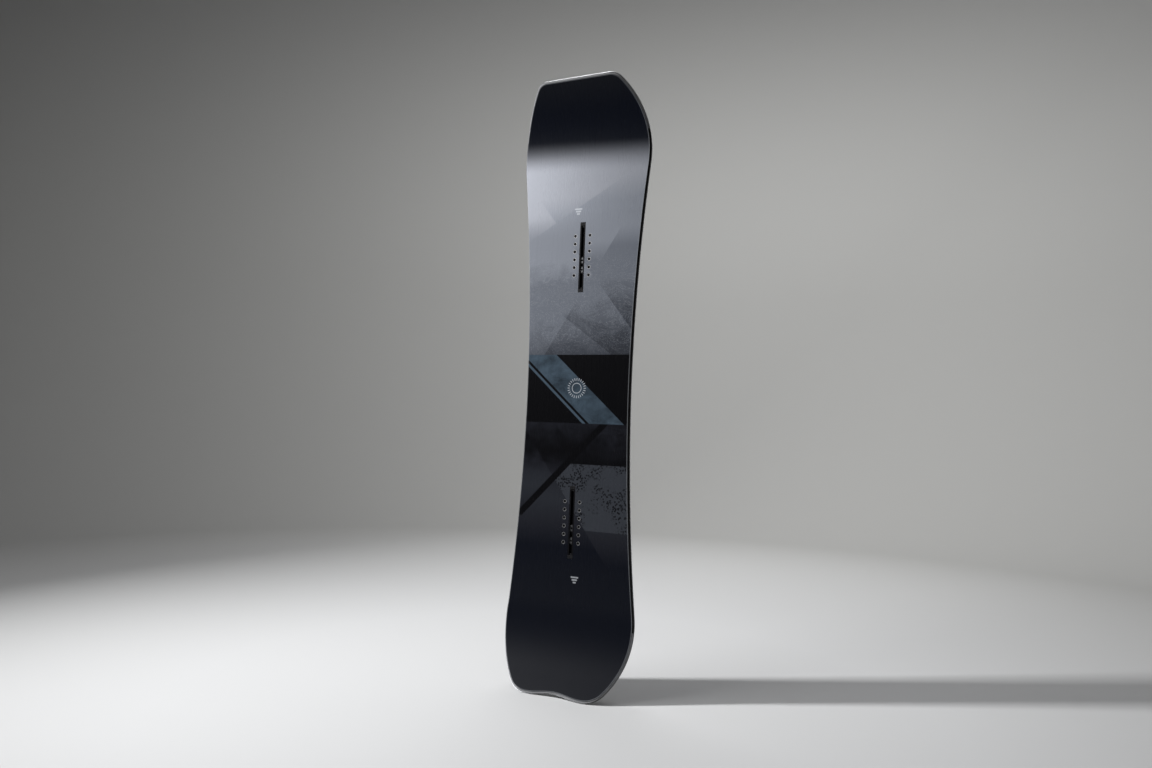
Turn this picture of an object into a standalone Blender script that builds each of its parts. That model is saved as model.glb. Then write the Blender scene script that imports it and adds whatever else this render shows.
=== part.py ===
"""Directional snowboard, built flat and pressed to shape the way a board is laid up.

Every piece is first made in the flat layout: x across the board, y along it from
the tail end (called s below), z up from the running base (called n below). The
press then thins the stack towards the tips, bends the nose and tail up, and
stands the board on its tail with the topsheet towards -Y. Units are metres.
"""

import math

import bmesh
import bpy
from mathutils import Matrix, Vector

# Length and bends, measured along the running base
CONTACT_LENGTH = 1.105
NOSE_BEND_LENGTH = 0.200
NOSE_BEND_RADIUS = 0.255
TAIL_BEND_LENGTH = 0.231
TAIL_BEND_RADIUS = 0.345

# Outline: sidecut, shoulders, corners and the notch in the tail
WAIST_WIDTH = 0.284
WAIST_SETBACK = 0.0355
SIDECUT_RADIUS = 5.10
NOSE_SHOULDER_LENGTH = 0.236
NOSE_SHOULDER_RADIUS = 0.320
NOSE_CORNER_RADIUS = 0.038
TAIL_SHOULDER_LENGTH = 0.206
TAIL_SHOULDER_RADIUS = 0.260
TAIL_CORNER_RADIUS = 0.060
TAIL_NOTCH_WIDTH = 0.140
TAIL_NOTCH_DEPTH = 0.008

# Layer thicknesses, from the base up
LAYER_GAP = 0.0003
BASE_THICKNESS = 0.0012
GLASS_THICKNESS = 0.0006
TOPSHEET_THICKNESS = 0.0006
CORE_THICKNESS = 0.0060
CORE_TIP_THICKNESS = 0.0026
CORE_FLAT_MARGIN = 0.110

# Steel edge, its teeth and the damping foil over them
EDGE_WIDTH = 0.0020
EDGE_HEIGHT = 0.0020
FLANGE_THICKNESS = 0.0005
FLANGE_WEB = 0.0018
TOOTH_REACH = 0.0060
TOOTH_LENGTH = 0.020
TOOTH_PITCH = 0.040
TOOTH_RELIEF = 0.00005
FOIL_THICKNESS = 0.0003

# Side of the board: where each layer ends inside the steel edge's outer face
FOIL_INSET = 0.0010
SIDEWALL_FOOT_INSET = 0.0010
SIDEWALL_TOP_INSET = 0.0034
GLASS_TOP_INSET = 0.0036
TOPSHEET_INSET = 0.0040
SIDEWALL_WIDTH = 0.0100
GLASS_RAMP = 0.0018

# Ends of the core and of the sidewalls
NOSE_SPACER_LENGTH = 0.146
NOSE_CORE_SETBACK = 0.058
TAIL_SPACER_LENGTH = 0.176
TAIL_CORE_SETBACK = 0.066
SPACER_OVERLAP = 0.006

# Binding inserts: two packs of two columns
STANCE_WIDTH = 0.662
STANCE_SETBACK = 0.030
INSERT_ROWS = 6
INSERT_ROW_PITCH = 0.020
INSERT_COLUMN_SPACING = 0.040
INSERT_BORE = 0.0050
INSERT_BARREL = 0.0090
INSERT_FLANGE = 0.0164
INSERT_FLANGE_THICKNESS = 0.0010
INSERT_TOP_DEPTH = 0.0003
INSERT_CLEARANCE = 0.0003

# Channel rails, with their nuts, cradles and end plugs
RAIL_LENGTH = 0.160
FRONT_RAIL_OFFSET = -0.0044
REAR_RAIL_OFFSET = 0.0
RAIL_WIDTH = 0.0140
RAIL_WALL = 0.0012
RAIL_FLOOR = 0.0012
RAIL_LIP = 0.0016
RAIL_MOUTH = 0.0070
RAIL_TOP_DEPTH = 0.0002
POCKET_WALL = 0.0012
PLUG_LENGTH = 0.0080
PLUG_TONGUE = 0.0040
NUT_LENGTH = 0.0130
NUT_BORE = 0.0050
NUT_CHAMFER = 0.0015
CRADLE_FLOOR = 0.0003
CRADLE_END = 0.0022
CRADLE_END_DEPTH = 0.0004
FRONT_NUT_OFFSETS = (-0.0120, -0.0360)
REAR_NUT_OFFSETS = (-0.0150, -0.0450)

# How finely curves are cut into facets
BEND_FACETS = 12
SIDECUT_STEPS = 7
SHOULDER_STEPS = 8
CORNER_STEPS = 5
NOTCH_STEPS = 6
CORE_END_STEPS = 9
ROUND_SIDES = 8
MERGE = 1e-6
FLAT_ANGLE = math.radians(0.05)
CUT_MARGIN = 0.004

# Places along the board
NOSE_CONTACT = TAIL_BEND_LENGTH + CONTACT_LENGTH
SURFACE_LENGTH = NOSE_CONTACT + NOSE_BEND_LENGTH
CONTACT_CENTRE = TAIL_BEND_LENGTH + CONTACT_LENGTH / 2
WAIST_PLACE = CONTACT_CENTRE - WAIST_SETBACK
STANCE_CENTRE = CONTACT_CENTRE - STANCE_SETBACK
FRONT_PACK = STANCE_CENTRE + STANCE_WIDTH / 2
REAR_PACK = STANCE_CENTRE - STANCE_WIDTH / 2
FLAT_FROM = REAR_PACK - CORE_FLAT_MARGIN
FLAT_TO = FRONT_PACK + CORE_FLAT_MARGIN

# Heights above the base in the flat layout
FLANGE_BOTTOM = BASE_THICKNESS + LAYER_GAP
FLANGE_TOP = FLANGE_BOTTOM + FLANGE_THICKNESS
FOIL_BOTTOM = max(FLANGE_TOP, EDGE_HEIGHT) + LAYER_GAP
FOIL_TOP = FOIL_BOTTOM + FOIL_THICKNESS
GLASS_LOW = BASE_THICKNESS + LAYER_GAP
GLASS_HIGH = FOIL_TOP + LAYER_GAP
CORE_BOTTOM = GLASS_LOW + GLASS_THICKNESS + LAYER_GAP
SIDEWALL_BOTTOM = GLASS_HIGH + GLASS_THICKNESS + LAYER_GAP
CORE_TOP = CORE_BOTTOM + CORE_THICKNESS
UPPER_GLASS_BOTTOM = CORE_TOP + LAYER_GAP
UPPER_GLASS_TOP = UPPER_GLASS_BOTTOM + GLASS_THICKNESS
TOPSHEET_BOTTOM = UPPER_GLASS_TOP + LAYER_GAP
TOPSHEET_TOP = TOPSHEET_BOTTOM + TOPSHEET_THICKNESS

# Insets of the stepped lower laminate and of the core
TOOTH_INSET = EDGE_WIDTH + TOOTH_REACH
RAMP_START = TOOTH_INSET + 3 * LAYER_GAP
RAMP_END = RAMP_START + GLASS_RAMP
BASE_INSET = EDGE_WIDTH + LAYER_GAP
CORE_INSET = SIDEWALL_FOOT_INSET + SIDEWALL_WIDTH + LAYER_GAP
RAMP_SLOPE = (GLASS_HIGH - GLASS_LOW) / GLASS_RAMP

# Widths and heights inside the channel
RAIL_TOP = TOPSHEET_TOP - RAIL_TOP_DEPTH
RAIL_CAVITY_FLOOR = CORE_BOTTOM + RAIL_FLOOR
RAIL_CAVITY_TOP = RAIL_TOP - RAIL_LIP
RAIL_CAVITY_HALF = RAIL_WIDTH / 2 - RAIL_WALL
COLUMN_OFFSET = INSERT_COLUMN_SPACING / 2
RAIL_BASE_HALF = COLUMN_OFFSET - INSERT_FLANGE / 2 - INSERT_CLEARANCE - POCKET_WALL - LAYER_GAP
NUT_HALF = RAIL_CAVITY_HALF - LAYER_GAP
CRADLE_LENGTH = NUT_LENGTH + 2 * (LAYER_GAP + CRADLE_END)

COLLECTION = bpy.data.collections.new("directional_snowboard")
CUTTERS = bpy.data.collections.new("cutters")


def clear_scene():
    """Remove whatever the file holds and link the two collections."""
    for old in list(bpy.data.objects):
        bpy.data.objects.remove(old, do_unlink=True)
    bpy.context.scene.collection.children.link(COLLECTION)
    bpy.context.scene.collection.children.link(CUTTERS)


def make_material(name, colour, roughness, metallic=0.0):
    """One Principled finish."""
    material = bpy.data.materials.new(name)
    material.use_nodes = True
    shader = material.node_tree.nodes["Principled BSDF"]
    shader.inputs["Base Color"].default_value = (*colour, 1.0)
    shader.inputs["Roughness"].default_value = roughness
    shader.inputs["Metallic"].default_value = metallic
    return material


# The outline


def half_to_tip(reach, shoulder_length, shoulder_radius, corner_radius):
    """Points (x, distance from waist, normal x, normal s) from the waist to one tip's end corner."""
    sidecut_length = reach - shoulder_length
    flare = math.asin(sidecut_length / SIDECUT_RADIUS)
    drop = (shoulder_length - shoulder_radius * math.sin(flare) - corner_radius) / (
        shoulder_radius - corner_radius
    )
    turn = math.asin(min(drop, 1.0))
    x = WAIST_WIDTH / 2
    s = 0.0
    points = []
    arcs = (
        (-SIDECUT_RADIUS, 0.0, flare, SIDECUT_STEPS),
        (shoulder_radius, flare, -turn, SHOULDER_STEPS),
        (corner_radius, -turn, -math.pi / 2, CORNER_STEPS),
    )
    for radius, start, end, steps in arcs:
        for step in range(steps):
            heading = start + (end - start) * step / steps
            points.append(
                (
                    x + radius * (math.cos(heading) - math.cos(start)),
                    s + radius * (math.sin(start) - math.sin(heading)),
                    math.cos(heading),
                    -math.sin(heading),
                )
            )
        x += radius * (math.cos(end) - math.cos(start))
        s += radius * (math.sin(start) - math.sin(end))
    points.append((x, s, 0.0, 1.0))
    return points


def tail_notch():
    """Right half of the shallow notch in the tail end, as one smooth dip."""
    points = []
    for step in range(NOTCH_STEPS + 1):
        x = TAIL_NOTCH_WIDTH / 2 * step / NOTCH_STEPS
        phase = 2 * math.pi * x / TAIL_NOTCH_WIDTH
        depth = TAIL_NOTCH_DEPTH / 2 * (1 + math.cos(phase))
        slope = -TAIL_NOTCH_DEPTH / 2 * math.sin(phase) * 2 * math.pi / TAIL_NOTCH_WIDTH
        length = math.hypot(1.0, slope)
        points.append((x, depth, slope / length, -1.0 / length))
    return points


def right_side():
    """The right half of the outline, from the tail's centre to the nose's centre."""
    nose = half_to_tip(
        SURFACE_LENGTH - WAIST_PLACE,
        NOSE_SHOULDER_LENGTH,
        NOSE_SHOULDER_RADIUS,
        NOSE_CORNER_RADIUS,
    )
    tail = half_to_tip(
        WAIST_PLACE, TAIL_SHOULDER_LENGTH, TAIL_SHOULDER_RADIUS, TAIL_CORNER_RADIUS
    )
    path = [point for point in tail_notch() if point[0] < tail[-1][0] - LAYER_GAP]
    path += [(x, WAIST_PLACE - s, nx, -ns) for x, s, nx, ns in reversed(tail[1:])]
    path += [(x, WAIST_PLACE + s, nx, ns) for x, s, nx, ns in nose]
    path.append((0.0, SURFACE_LENGTH, 0.0, 1.0))
    return path


def outline(inset):
    """The whole outline as (x, s) points, drawn in by inset all round."""
    half = [(x - inset * nx, s - inset * ns) for x, s, nx, ns in right_side()]
    return half + [(-x, s) for x, s in reversed(half[1:-1])]


def stack_at(point, inset):
    """One outline point moved in by inset."""
    x, s, nx, ns = point
    return x - inset * nx, s - inset * ns


# Solids in the flat layout


def link(name, mesh, material=None, collection=COLLECTION):
    """A new object for a mesh."""
    made = bpy.data.objects.new(name, mesh)
    collection.objects.link(made)
    if material:
        mesh.materials.append(material)
    return made


def mesh_of(bm, name):
    """Close a bmesh off into a mesh with its faces turned outwards."""
    bmesh.ops.remove_doubles(bm, verts=bm.verts, dist=MERGE)
    bmesh.ops.recalc_face_normals(bm, faces=bm.faces)
    mesh = bpy.data.meshes.new(name)
    bm.to_mesh(mesh)
    bm.free()
    return mesh


def plate(name, loops, low, high, turn=None):
    """A flat outline, with any holes, made as a filled 2D curve and extruded from low to high."""
    curve = bpy.data.curves.new(name, "CURVE")
    curve.dimensions = "2D"
    curve.fill_mode = "BOTH"
    curve.extrude = (high - low) / 2
    for loop in loops:
        spline = curve.splines.new("POLY")
        spline.points.add(len(loop) - 1)
        for place, (u, v) in zip(spline.points, loop):
            place.co = (u, v, 0.0, 1.0)
        spline.use_cyclic_u = True
    drawn = bpy.data.objects.new(name + "_outline", curve)
    CUTTERS.objects.link(drawn)
    bpy.context.view_layer.update()
    graph = bpy.context.evaluated_depsgraph_get()
    filled = bpy.data.meshes.new_from_object(drawn.evaluated_get(graph))
    bpy.data.objects.remove(drawn, do_unlink=True)
    bm = bmesh.new()
    bm.from_mesh(filled)
    bpy.data.meshes.remove(filled)
    bmesh.ops.translate(bm, verts=bm.verts, vec=(0.0, 0.0, (high + low) / 2))
    if turn:
        bm.transform(turn)
    bmesh.ops.remove_doubles(bm, verts=bm.verts, dist=MERGE)
    bmesh.ops.dissolve_limit(bm, angle_limit=FLAT_ANGLE, verts=bm.verts, edges=bm.edges)
    return mesh_of(bm, name)


def rings_to_mesh(name, rings, capped_loops):
    """Join rings of points with faces. Loops close on themselves; open strips get end caps."""
    bm = bmesh.new()
    rows = [[bm.verts.new(point) for point in ring] for ring in rings]
    for one, two in zip(rows, rows[1:]):
        for i in range(len(one)):
            j = (i + 1) % len(one)
            bm.faces.new((one[i], one[j], two[j], two[i]))
    if capped_loops:
        bm.faces.new(rows[0])
        bm.faces.new(rows[-1])
    return mesh_of(bm, name)


def full_round(name, section):
    """A solid that follows the whole outline: section runs from the middle of its underside
    out to the rim and back in to the middle of its top, as (inset, height) pairs."""
    rings = [[(x, s, height) for x, s in outline(inset)] for inset, height in section]
    return rings_to_mesh(name, rings, True)


def side_strip(name, section, path, hand):
    """A strip of one section swept along part of the right or left side."""
    rings = []
    for point in path:
        ring = []
        for inset, height in section:
            x, s = stack_at(point, inset)
            ring.append((hand * x, s, height))
        rings.append(ring)
    return rings_to_mesh(name, rings, True)


def box(name, low, high):
    """A box between two corners."""
    bm = bmesh.new()
    bmesh.ops.create_cube(bm, size=1.0)
    for vert in bm.verts:
        for axis in range(3):
            half = vert.co[axis] + 0.5
            vert.co[axis] = low[axis] + half * (high[axis] - low[axis])
    return mesh_of(bm, name)


def turned(name, profile):
    """A turned shape from a closed (radius, height) profile, by a Screw modifier."""
    bm = bmesh.new()
    corners = [bm.verts.new((radius, 0.0, height)) for radius, height in profile]
    for i, corner in enumerate(corners):
        following = corners[(i + 1) % len(corners)]
        if corner.co.x > 0 or following.co.x > 0:
            bm.edges.new((corner, following))
    section = bpy.data.meshes.new(name)
    bm.to_mesh(section)
    bm.free()
    lathe = bpy.data.objects.new(name + "_profile", section)
    CUTTERS.objects.link(lathe)
    screw = lathe.modifiers.new("turn", "SCREW")
    screw.steps = ROUND_SIDES
    screw.render_steps = ROUND_SIDES
    screw.use_merge_vertices = True
    screw.merge_threshold = MERGE
    bpy.context.view_layer.update()
    graph = bpy.context.evaluated_depsgraph_get()
    spun = bpy.data.meshes.new_from_object(lathe.evaluated_get(graph))
    bpy.data.objects.remove(lathe, do_unlink=True)
    bm = bmesh.new()
    bm.from_mesh(spun)
    bpy.data.meshes.remove(spun)
    return mesh_of(bm, name)


def joined(name, meshes_and_places):
    """Several separate bodies in one mesh, for a cutter or a comb of teeth."""
    bm = bmesh.new()
    for mesh, place in meshes_and_places:
        copy = mesh.copy()
        copy.transform(Matrix.Translation(place))
        bm.from_mesh(copy)
        bpy.data.meshes.remove(copy)
    mesh = bpy.data.meshes.new(name)
    bm.to_mesh(mesh)
    bm.free()
    return mesh


def combine(mesh, other, operation):
    """Cut, join or intersect one mesh with another, and return the result."""
    worked = link("worked", mesh, collection=CUTTERS)
    tool = link("tool", other, collection=CUTTERS)
    tool.hide_render = True
    tool.display_type = "WIRE"
    boolean = worked.modifiers.new(operation.lower(), "BOOLEAN")
    boolean.operation = operation
    boolean.solver = "EXACT"
    boolean.object = tool
    bpy.context.view_layer.update()
    graph = bpy.context.evaluated_depsgraph_get()
    result = bpy.data.meshes.new_from_object(worked.evaluated_get(graph))
    bpy.data.objects.remove(worked, do_unlink=True)
    bpy.data.objects.remove(tool, do_unlink=True)
    return result


# The press: taper, bend and stand up


def sidewall_height(s):
    """Height of the sidewall at s: full between the packs, thinning to the tips."""
    full = CORE_TOP - SIDEWALL_BOTTOM
    tip = full - (CORE_THICKNESS - CORE_TIP_THICKNESS)
    if s < FLAT_FROM:
        return tip + (full - tip) * s / FLAT_FROM
    if s > FLAT_TO:
        return tip + (full - tip) * (SURFACE_LENGTH - s) / (SURFACE_LENGTH - FLAT_TO)
    return full


def pressed_height(s, n):
    """Height of a point after the taper."""
    full = CORE_TOP - SIDEWALL_BOTTOM
    if n <= SIDEWALL_BOTTOM:
        return n
    if n >= CORE_TOP:
        return n - full + sidewall_height(s)
    return SIDEWALL_BOTTOM + (n - SIDEWALL_BOTTOM) * sidewall_height(s) / full


def press_line():
    """Stations (s, y, z) of the running base: the two bends in equal facets, straight between."""
    tail_rise = TAIL_BEND_RADIUS * math.sin(TAIL_BEND_LENGTH / TAIL_BEND_RADIUS)
    stations = []
    for step in range(BEND_FACETS + 1):
        left = TAIL_BEND_LENGTH * (1 - step / BEND_FACETS)
        angle = left / TAIL_BEND_RADIUS
        y = -TAIL_BEND_RADIUS * (1 - math.cos(angle))
        stations.append(
            (TAIL_BEND_LENGTH - left, y, tail_rise - TAIL_BEND_RADIUS * math.sin(angle))
        )
    for s in (FLAT_FROM, FLAT_TO):
        if TAIL_BEND_LENGTH + MERGE < s < NOSE_CONTACT - MERGE:
            stations.append((s, 0.0, tail_rise + s - TAIL_BEND_LENGTH))
    for step in range(BEND_FACETS + 1):
        gone = NOSE_BEND_LENGTH * step / BEND_FACETS
        angle = gone / NOSE_BEND_RADIUS
        y = -NOSE_BEND_RADIUS * (1 - math.cos(angle))
        z = tail_rise + CONTACT_LENGTH + NOSE_BEND_RADIUS * math.sin(angle)
        stations.append((NOSE_CONTACT + gone, y, z))
    return stations


def mitres(stations):
    """For each station, how far a point moves in (y, z) for each metre above the base."""
    normals = []
    for (_, y0, z0), (_, y1, z1) in zip(stations, stations[1:]):
        length = math.hypot(y1 - y0, z1 - z0)
        normals.append(((z0 - z1) / length, (y1 - y0) / length))
    found = [normals[0]]
    for (ya, za), (yb, zb) in zip(normals, normals[1:]):
        share = 1 + ya * yb + za * zb
        found.append(((ya + yb) / share, (za + zb) / share))
    found.append(normals[-1])
    return found


STATIONS = press_line()
MITRES = mitres(STATIONS)


def pressed(x, s, n):
    """Where a point of the flat layout ends up on the finished board."""
    height = pressed_height(s, n)
    place = len(STATIONS) - 2
    while place > 0 and STATIONS[place][0] > s:
        place -= 1
    s0, y0, z0 = STATIONS[place]
    s1, y1, z1 = STATIONS[place + 1]
    share = (s - s0) / (s1 - s0)
    low = (y0 + height * MITRES[place][0], z0 + height * MITRES[place][1])
    high = (y1 + height * MITRES[place + 1][0], z1 + height * MITRES[place + 1][1])
    return Vector(
        (x, low[0] + (high[0] - low[0]) * share, low[1] + (high[1] - low[1]) * share)
    )


def press(mesh, facet=True):
    """Bend a flat mesh to the board's shape. Wide sheets are first cut at the bend lines."""
    bm = bmesh.new()
    bm.from_mesh(mesh)
    if facet:
        for s, _, _ in STATIONS[1:-1]:
            bmesh.ops.bisect_plane(
                bm,
                geom=bm.verts[:] + bm.edges[:] + bm.faces[:],
                plane_co=(0.0, s, 0.0),
                plane_no=(0.0, 1.0, 0.0),
                dist=MERGE,
            )
    for vert in bm.verts:
        vert.co = pressed(*vert.co)
    bm.to_mesh(mesh)
    bm.free()
    return mesh


# Cutters that several layers share


def insert_places():
    """(name, x, s) for every insert."""
    places = []
    for pack, centre in (("front", FRONT_PACK), ("rear", REAR_PACK)):
        for side, hand in (("left", -1), ("right", 1)):
            for row in range(INSERT_ROWS):
                s = centre + ((INSERT_ROWS - 1) / 2 - row) * INSERT_ROW_PITCH
                places.append((f"insert_{pack}_{side}_{row + 1}", hand * COLUMN_OFFSET, s))
    return places


def insert_holes(with_flange):
    """Cutter for the insert barrels and, in the core, for the flanges under it."""
    barrel = INSERT_BARREL / 2 + INSERT_CLEARANCE
    top = TOPSHEET_TOP + CUT_MARGIN
    bottom = -CUT_MARGIN
    profile = [(0.0, top), (barrel, top)]
    if with_flange:
        flange = INSERT_FLANGE / 2 + INSERT_CLEARANCE
        shoulder = CORE_BOTTOM + INSERT_FLANGE_THICKNESS + INSERT_CLEARANCE
        profile += [(barrel, shoulder), (flange, shoulder), (flange, bottom)]
    else:
        profile.append((barrel, bottom))
    profile.append((0.0, bottom))
    hole = turned("insert_hole", profile)
    return joined("insert_holes", [(hole, (x, s, 0.0)) for _, x, s in insert_places()])


def rail_centres():
    """Centre of each channel rail along the board."""
    return FRONT_PACK + FRONT_RAIL_OFFSET, REAR_PACK + REAR_RAIL_OFFSET


def slot_cutter(low):
    """Cutter for both channels, as wide as the rails and as long as rail and plugs."""
    half_width = RAIL_WIDTH / 2 + LAYER_GAP
    half_length = RAIL_LENGTH / 2 + PLUG_LENGTH + 2 * LAYER_GAP
    top = TOPSHEET_TOP + CUT_MARGIN
    slots = []
    for centre in rail_centres():
        corners = (-half_width, centre - half_length, low), (half_width, centre + half_length, top)
        slots.append((box("slot", *corners), (0.0, 0.0, 0.0)))
    return joined("slots", slots)


def foot_cutter():
    """Cutter for the wide foot of both rails, from under the core."""
    half_width = RAIL_BASE_HALF + LAYER_GAP
    half_length = RAIL_LENGTH / 2 + LAYER_GAP
    top = RAIL_CAVITY_FLOOR + LAYER_GAP
    feet = []
    for centre in rail_centres():
        low = (-half_width, centre - half_length, -CUT_MARGIN)
        feet.append((box("foot", low, (half_width, centre + half_length, top)), (0.0, 0.0, 0.0)))
    return joined("feet", feet)


# The layers


def core_blank(grow):
    """Outline of the core: board sides drawn in, with a round end at the nose and tail."""
    inset = CORE_INSET - grow
    tail_start = TAIL_SPACER_LENGTH - SPACER_OVERLAP
    nose_start = SURFACE_LENGTH - NOSE_SPACER_LENGTH + SPACER_OVERLAP
    side = [stack_at(point, inset) for point in right_side()]
    side = [(x, s) for x, s in side if tail_start < s < nose_start]
    ends = []
    for start, apex, toward in (
        (tail_start, TAIL_CORE_SETBACK, -1),
        (nose_start, SURFACE_LENGTH - NOSE_CORE_SETBACK, 1),
    ):
        half = width_at(start, inset)
        rise = abs(apex - start) + grow
        radius = (half * half + rise * rise) / (2 * rise)
        sweep = 2 * math.atan2(rise, half)
        arc = []
        for step in range(CORE_END_STEPS + 1):
            angle = sweep * step / CORE_END_STEPS
            arc.append((radius * math.sin(angle), start + toward * (rise - radius * (1 - math.cos(angle)))))
        ends.append(arc)
    half_loop = ends[0] + side + ends[1][::-1]
    return half_loop + [(-x, s) for x, s in reversed(half_loop[1:-1])]


def width_at(place, inset):
    """Half width of the drawn-in outline at one place along the board, beside the waist."""
    side = [stack_at(point, inset) for point in right_side()]
    for (x0, s0), (x1, s1) in zip(side, side[1:]):
        if s0 <= place <= s1 and s1 > s0:
            return x0 + (x1 - x0) * (place - s0) / (s1 - s0)
    return WAIST_WIDTH / 2 - inset


def make_base_sheet():
    flat = plate("base_sheet", [outline(BASE_INSET)], 0.0, BASE_THICKNESS)
    finish = make_material("sintered_base", (0.03, 0.03, 0.035), 0.35)
    return link("base_sheet", press(flat), finish)


def make_lower_glass():
    top_start = RAMP_START + LAYER_GAP
    top_end = RAMP_END + LAYER_GAP
    section = (
        (RAMP_END, GLASS_LOW),
        (RAMP_START, GLASS_HIGH),
        (FOIL_INSET, GLASS_HIGH),
        (FOIL_INSET, GLASS_HIGH + GLASS_THICKNESS),
        (top_start, GLASS_HIGH + GLASS_THICKNESS),
        (top_end, GLASS_LOW + GLASS_THICKNESS),
    )
    finish = make_material("lower_laminate", (0.55, 0.60, 0.45), 0.45)
    return link("lower_fibreglass", press(full_round("lower_fibreglass", section)), finish)


def core_strip(name, low_x, high_x, low_s, high_s):
    """The part of the core blank that lies between these limits."""
    blank = plate(name, [core_blank(0.0)], CORE_BOTTOM, CORE_TOP)
    low = (low_x, low_s, -CUT_MARGIN)
    high = (high_x, high_s, TOPSHEET_TOP + CUT_MARGIN)
    return combine(blank, box("strip", low, high), "INTERSECT")


def make_core_side(name, hand):
    """The wide block of core strips beside the channels, with its insert bores."""
    inner = RAIL_WIDTH / 2 + LAYER_GAP
    reach = sorted((hand * inner, hand * WAIST_WIDTH))
    flat = core_strip(name, *reach, -CUT_MARGIN, SURFACE_LENGTH)
    flat = combine(flat, insert_holes(True), "DIFFERENCE")
    flat = combine(flat, foot_cutter(), "DIFFERENCE")
    finish = make_material(name + "_poplar", (0.72, 0.55, 0.36), 0.6)
    return link(name, press(flat), finish)


def make_stringer(name, low, high):
    """The centre strip of the core between the channels, with a step under each end plug."""
    half = RAIL_WIDTH / 2
    flat = core_strip(name, -half, half, low, high)
    flat = combine(flat, slot_cutter(RAIL_CAVITY_FLOOR), "DIFFERENCE")
    finish = make_material(name + "_ash", (0.62, 0.47, 0.31), 0.6)
    return link(name, press(flat), finish)


def make_core():
    for side, hand in (("left", -1), ("right", 1)):
        make_core_side("core_strips_" + side, hand)
    front, rear = rail_centres()
    half = RAIL_LENGTH / 2 + LAYER_GAP
    make_stringer("core_stringer_nose", front + half, SURFACE_LENGTH)
    make_stringer("core_stringer_waist", rear + half, front - half)
    make_stringer("core_stringer_tail", -CUT_MARGIN, rear - half)


def foot_height(inset):
    """Height of the draped laminate's clearance line above its ramp."""
    gap = LAYER_GAP * math.hypot(1.0, RAMP_SLOPE)
    top = GLASS_HIGH + GLASS_THICKNESS - RAMP_SLOPE * (inset - RAMP_START - LAYER_GAP)
    return top + gap


def foot_corner():
    """Inset where the sidewall's underside starts to follow the ramp."""
    rise = LAYER_GAP * (math.hypot(1.0, RAMP_SLOPE) - 1.0)
    return RAMP_START + LAYER_GAP + rise / RAMP_SLOPE


def make_spacer(name, low, high):
    """A tip filler: the full width of the board, cut away round the end of the core."""
    inner = CORE_INSET - LAYER_GAP
    section = (
        (inner, max(foot_height(inner), CORE_BOTTOM)),
        (foot_corner(), SIDEWALL_BOTTOM),
        (SIDEWALL_FOOT_INSET, SIDEWALL_BOTTOM),
        (SIDEWALL_TOP_INSET, CORE_TOP),
    )
    flat = full_round(name, section)
    cut = plate("core_end", [core_blank(LAYER_GAP)], -CUT_MARGIN, TOPSHEET_TOP + CUT_MARGIN)
    flat = combine(flat, cut, "DIFFERENCE")
    wide = WAIST_WIDTH
    keep = box("tip", (-wide, low, -CUT_MARGIN), (wide, high, TOPSHEET_TOP + CUT_MARGIN))
    flat = combine(flat, keep, "INTERSECT")
    finish = make_material(name + "_abs", (0.20, 0.20, 0.21), 0.4)
    return link(name, press(flat), finish)


def make_sidewall(name, hand):
    nose_end = SURFACE_LENGTH - NOSE_SPACER_LENGTH - LAYER_GAP
    tail_end = TAIL_SPACER_LENGTH + LAYER_GAP
    inner = CORE_INSET - LAYER_GAP
    section = (
        (SIDEWALL_FOOT_INSET, SIDEWALL_BOTTOM),
        (SIDEWALL_TOP_INSET, CORE_TOP),
        (inner, CORE_TOP),
        (inner, foot_height(inner)),
        (foot_corner(), SIDEWALL_BOTTOM),
    )
    flat = side_strip(name, section, right_side()[1:-1], hand)
    low = (-WAIST_WIDTH, tail_end, -CUT_MARGIN)
    keep = box("run", low, (WAIST_WIDTH, nose_end, TOPSHEET_TOP + CUT_MARGIN))
    flat = combine(flat, keep, "INTERSECT")
    finish = make_material(name + "_abs", (0.02, 0.02, 0.022), 0.35)
    return link(name, press(flat), finish)


def make_upper_glass():
    flat = plate(
        "upper_fibreglass", [outline(GLASS_TOP_INSET)], UPPER_GLASS_BOTTOM, UPPER_GLASS_TOP
    )
    flat = combine(flat, insert_holes(False), "DIFFERENCE")
    flat = combine(flat, slot_cutter(-CUT_MARGIN), "DIFFERENCE")
    finish = make_material("upper_laminate", (0.55, 0.60, 0.45), 0.45)
    return link("upper_fibreglass", press(flat), finish)


def make_topsheet():
    flat = plate("topsheet", [outline(TOPSHEET_INSET)], TOPSHEET_BOTTOM, TOPSHEET_TOP)
    flat = combine(flat, insert_holes(False), "DIFFERENCE")
    flat = combine(flat, slot_cutter(-CUT_MARGIN), "DIFFERENCE")
    finish = make_material("printed_topsheet", (0.05, 0.055, 0.075), 0.25)
    return link("topsheet", press(flat), finish)


# The edges and their foils


def half_path(gap):
    """The right side with its two ends held back from the centre line."""
    path = list(right_side())
    first = path[0]
    last = path[-1]
    path[0] = (gap, first[1], first[2], first[3])
    path[-1] = (gap, last[1], last[2], last[3])
    return path


def tooth_places(path):
    """(x, s, normal x, normal s) at the middle of each tooth along the path."""
    places = []
    travelled = 0.0
    wanted = TOOTH_PITCH / 2
    for (x0, s0, nx0, ns0), (x1, s1, nx1, ns1) in zip(path, path[1:]):
        length = math.hypot(x1 - x0, s1 - s0)
        while wanted <= travelled + length:
            share = (wanted - travelled) / length
            nx = nx0 + (nx1 - nx0) * share
            ns = ns0 + (ns1 - ns0) * share
            size = math.hypot(nx, ns)
            places.append(
                (x0 + (x1 - x0) * share, s0 + (s1 - s0) * share, nx / size, ns / size)
            )
            wanted += TOOTH_PITCH
        travelled += length
    return places


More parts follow.
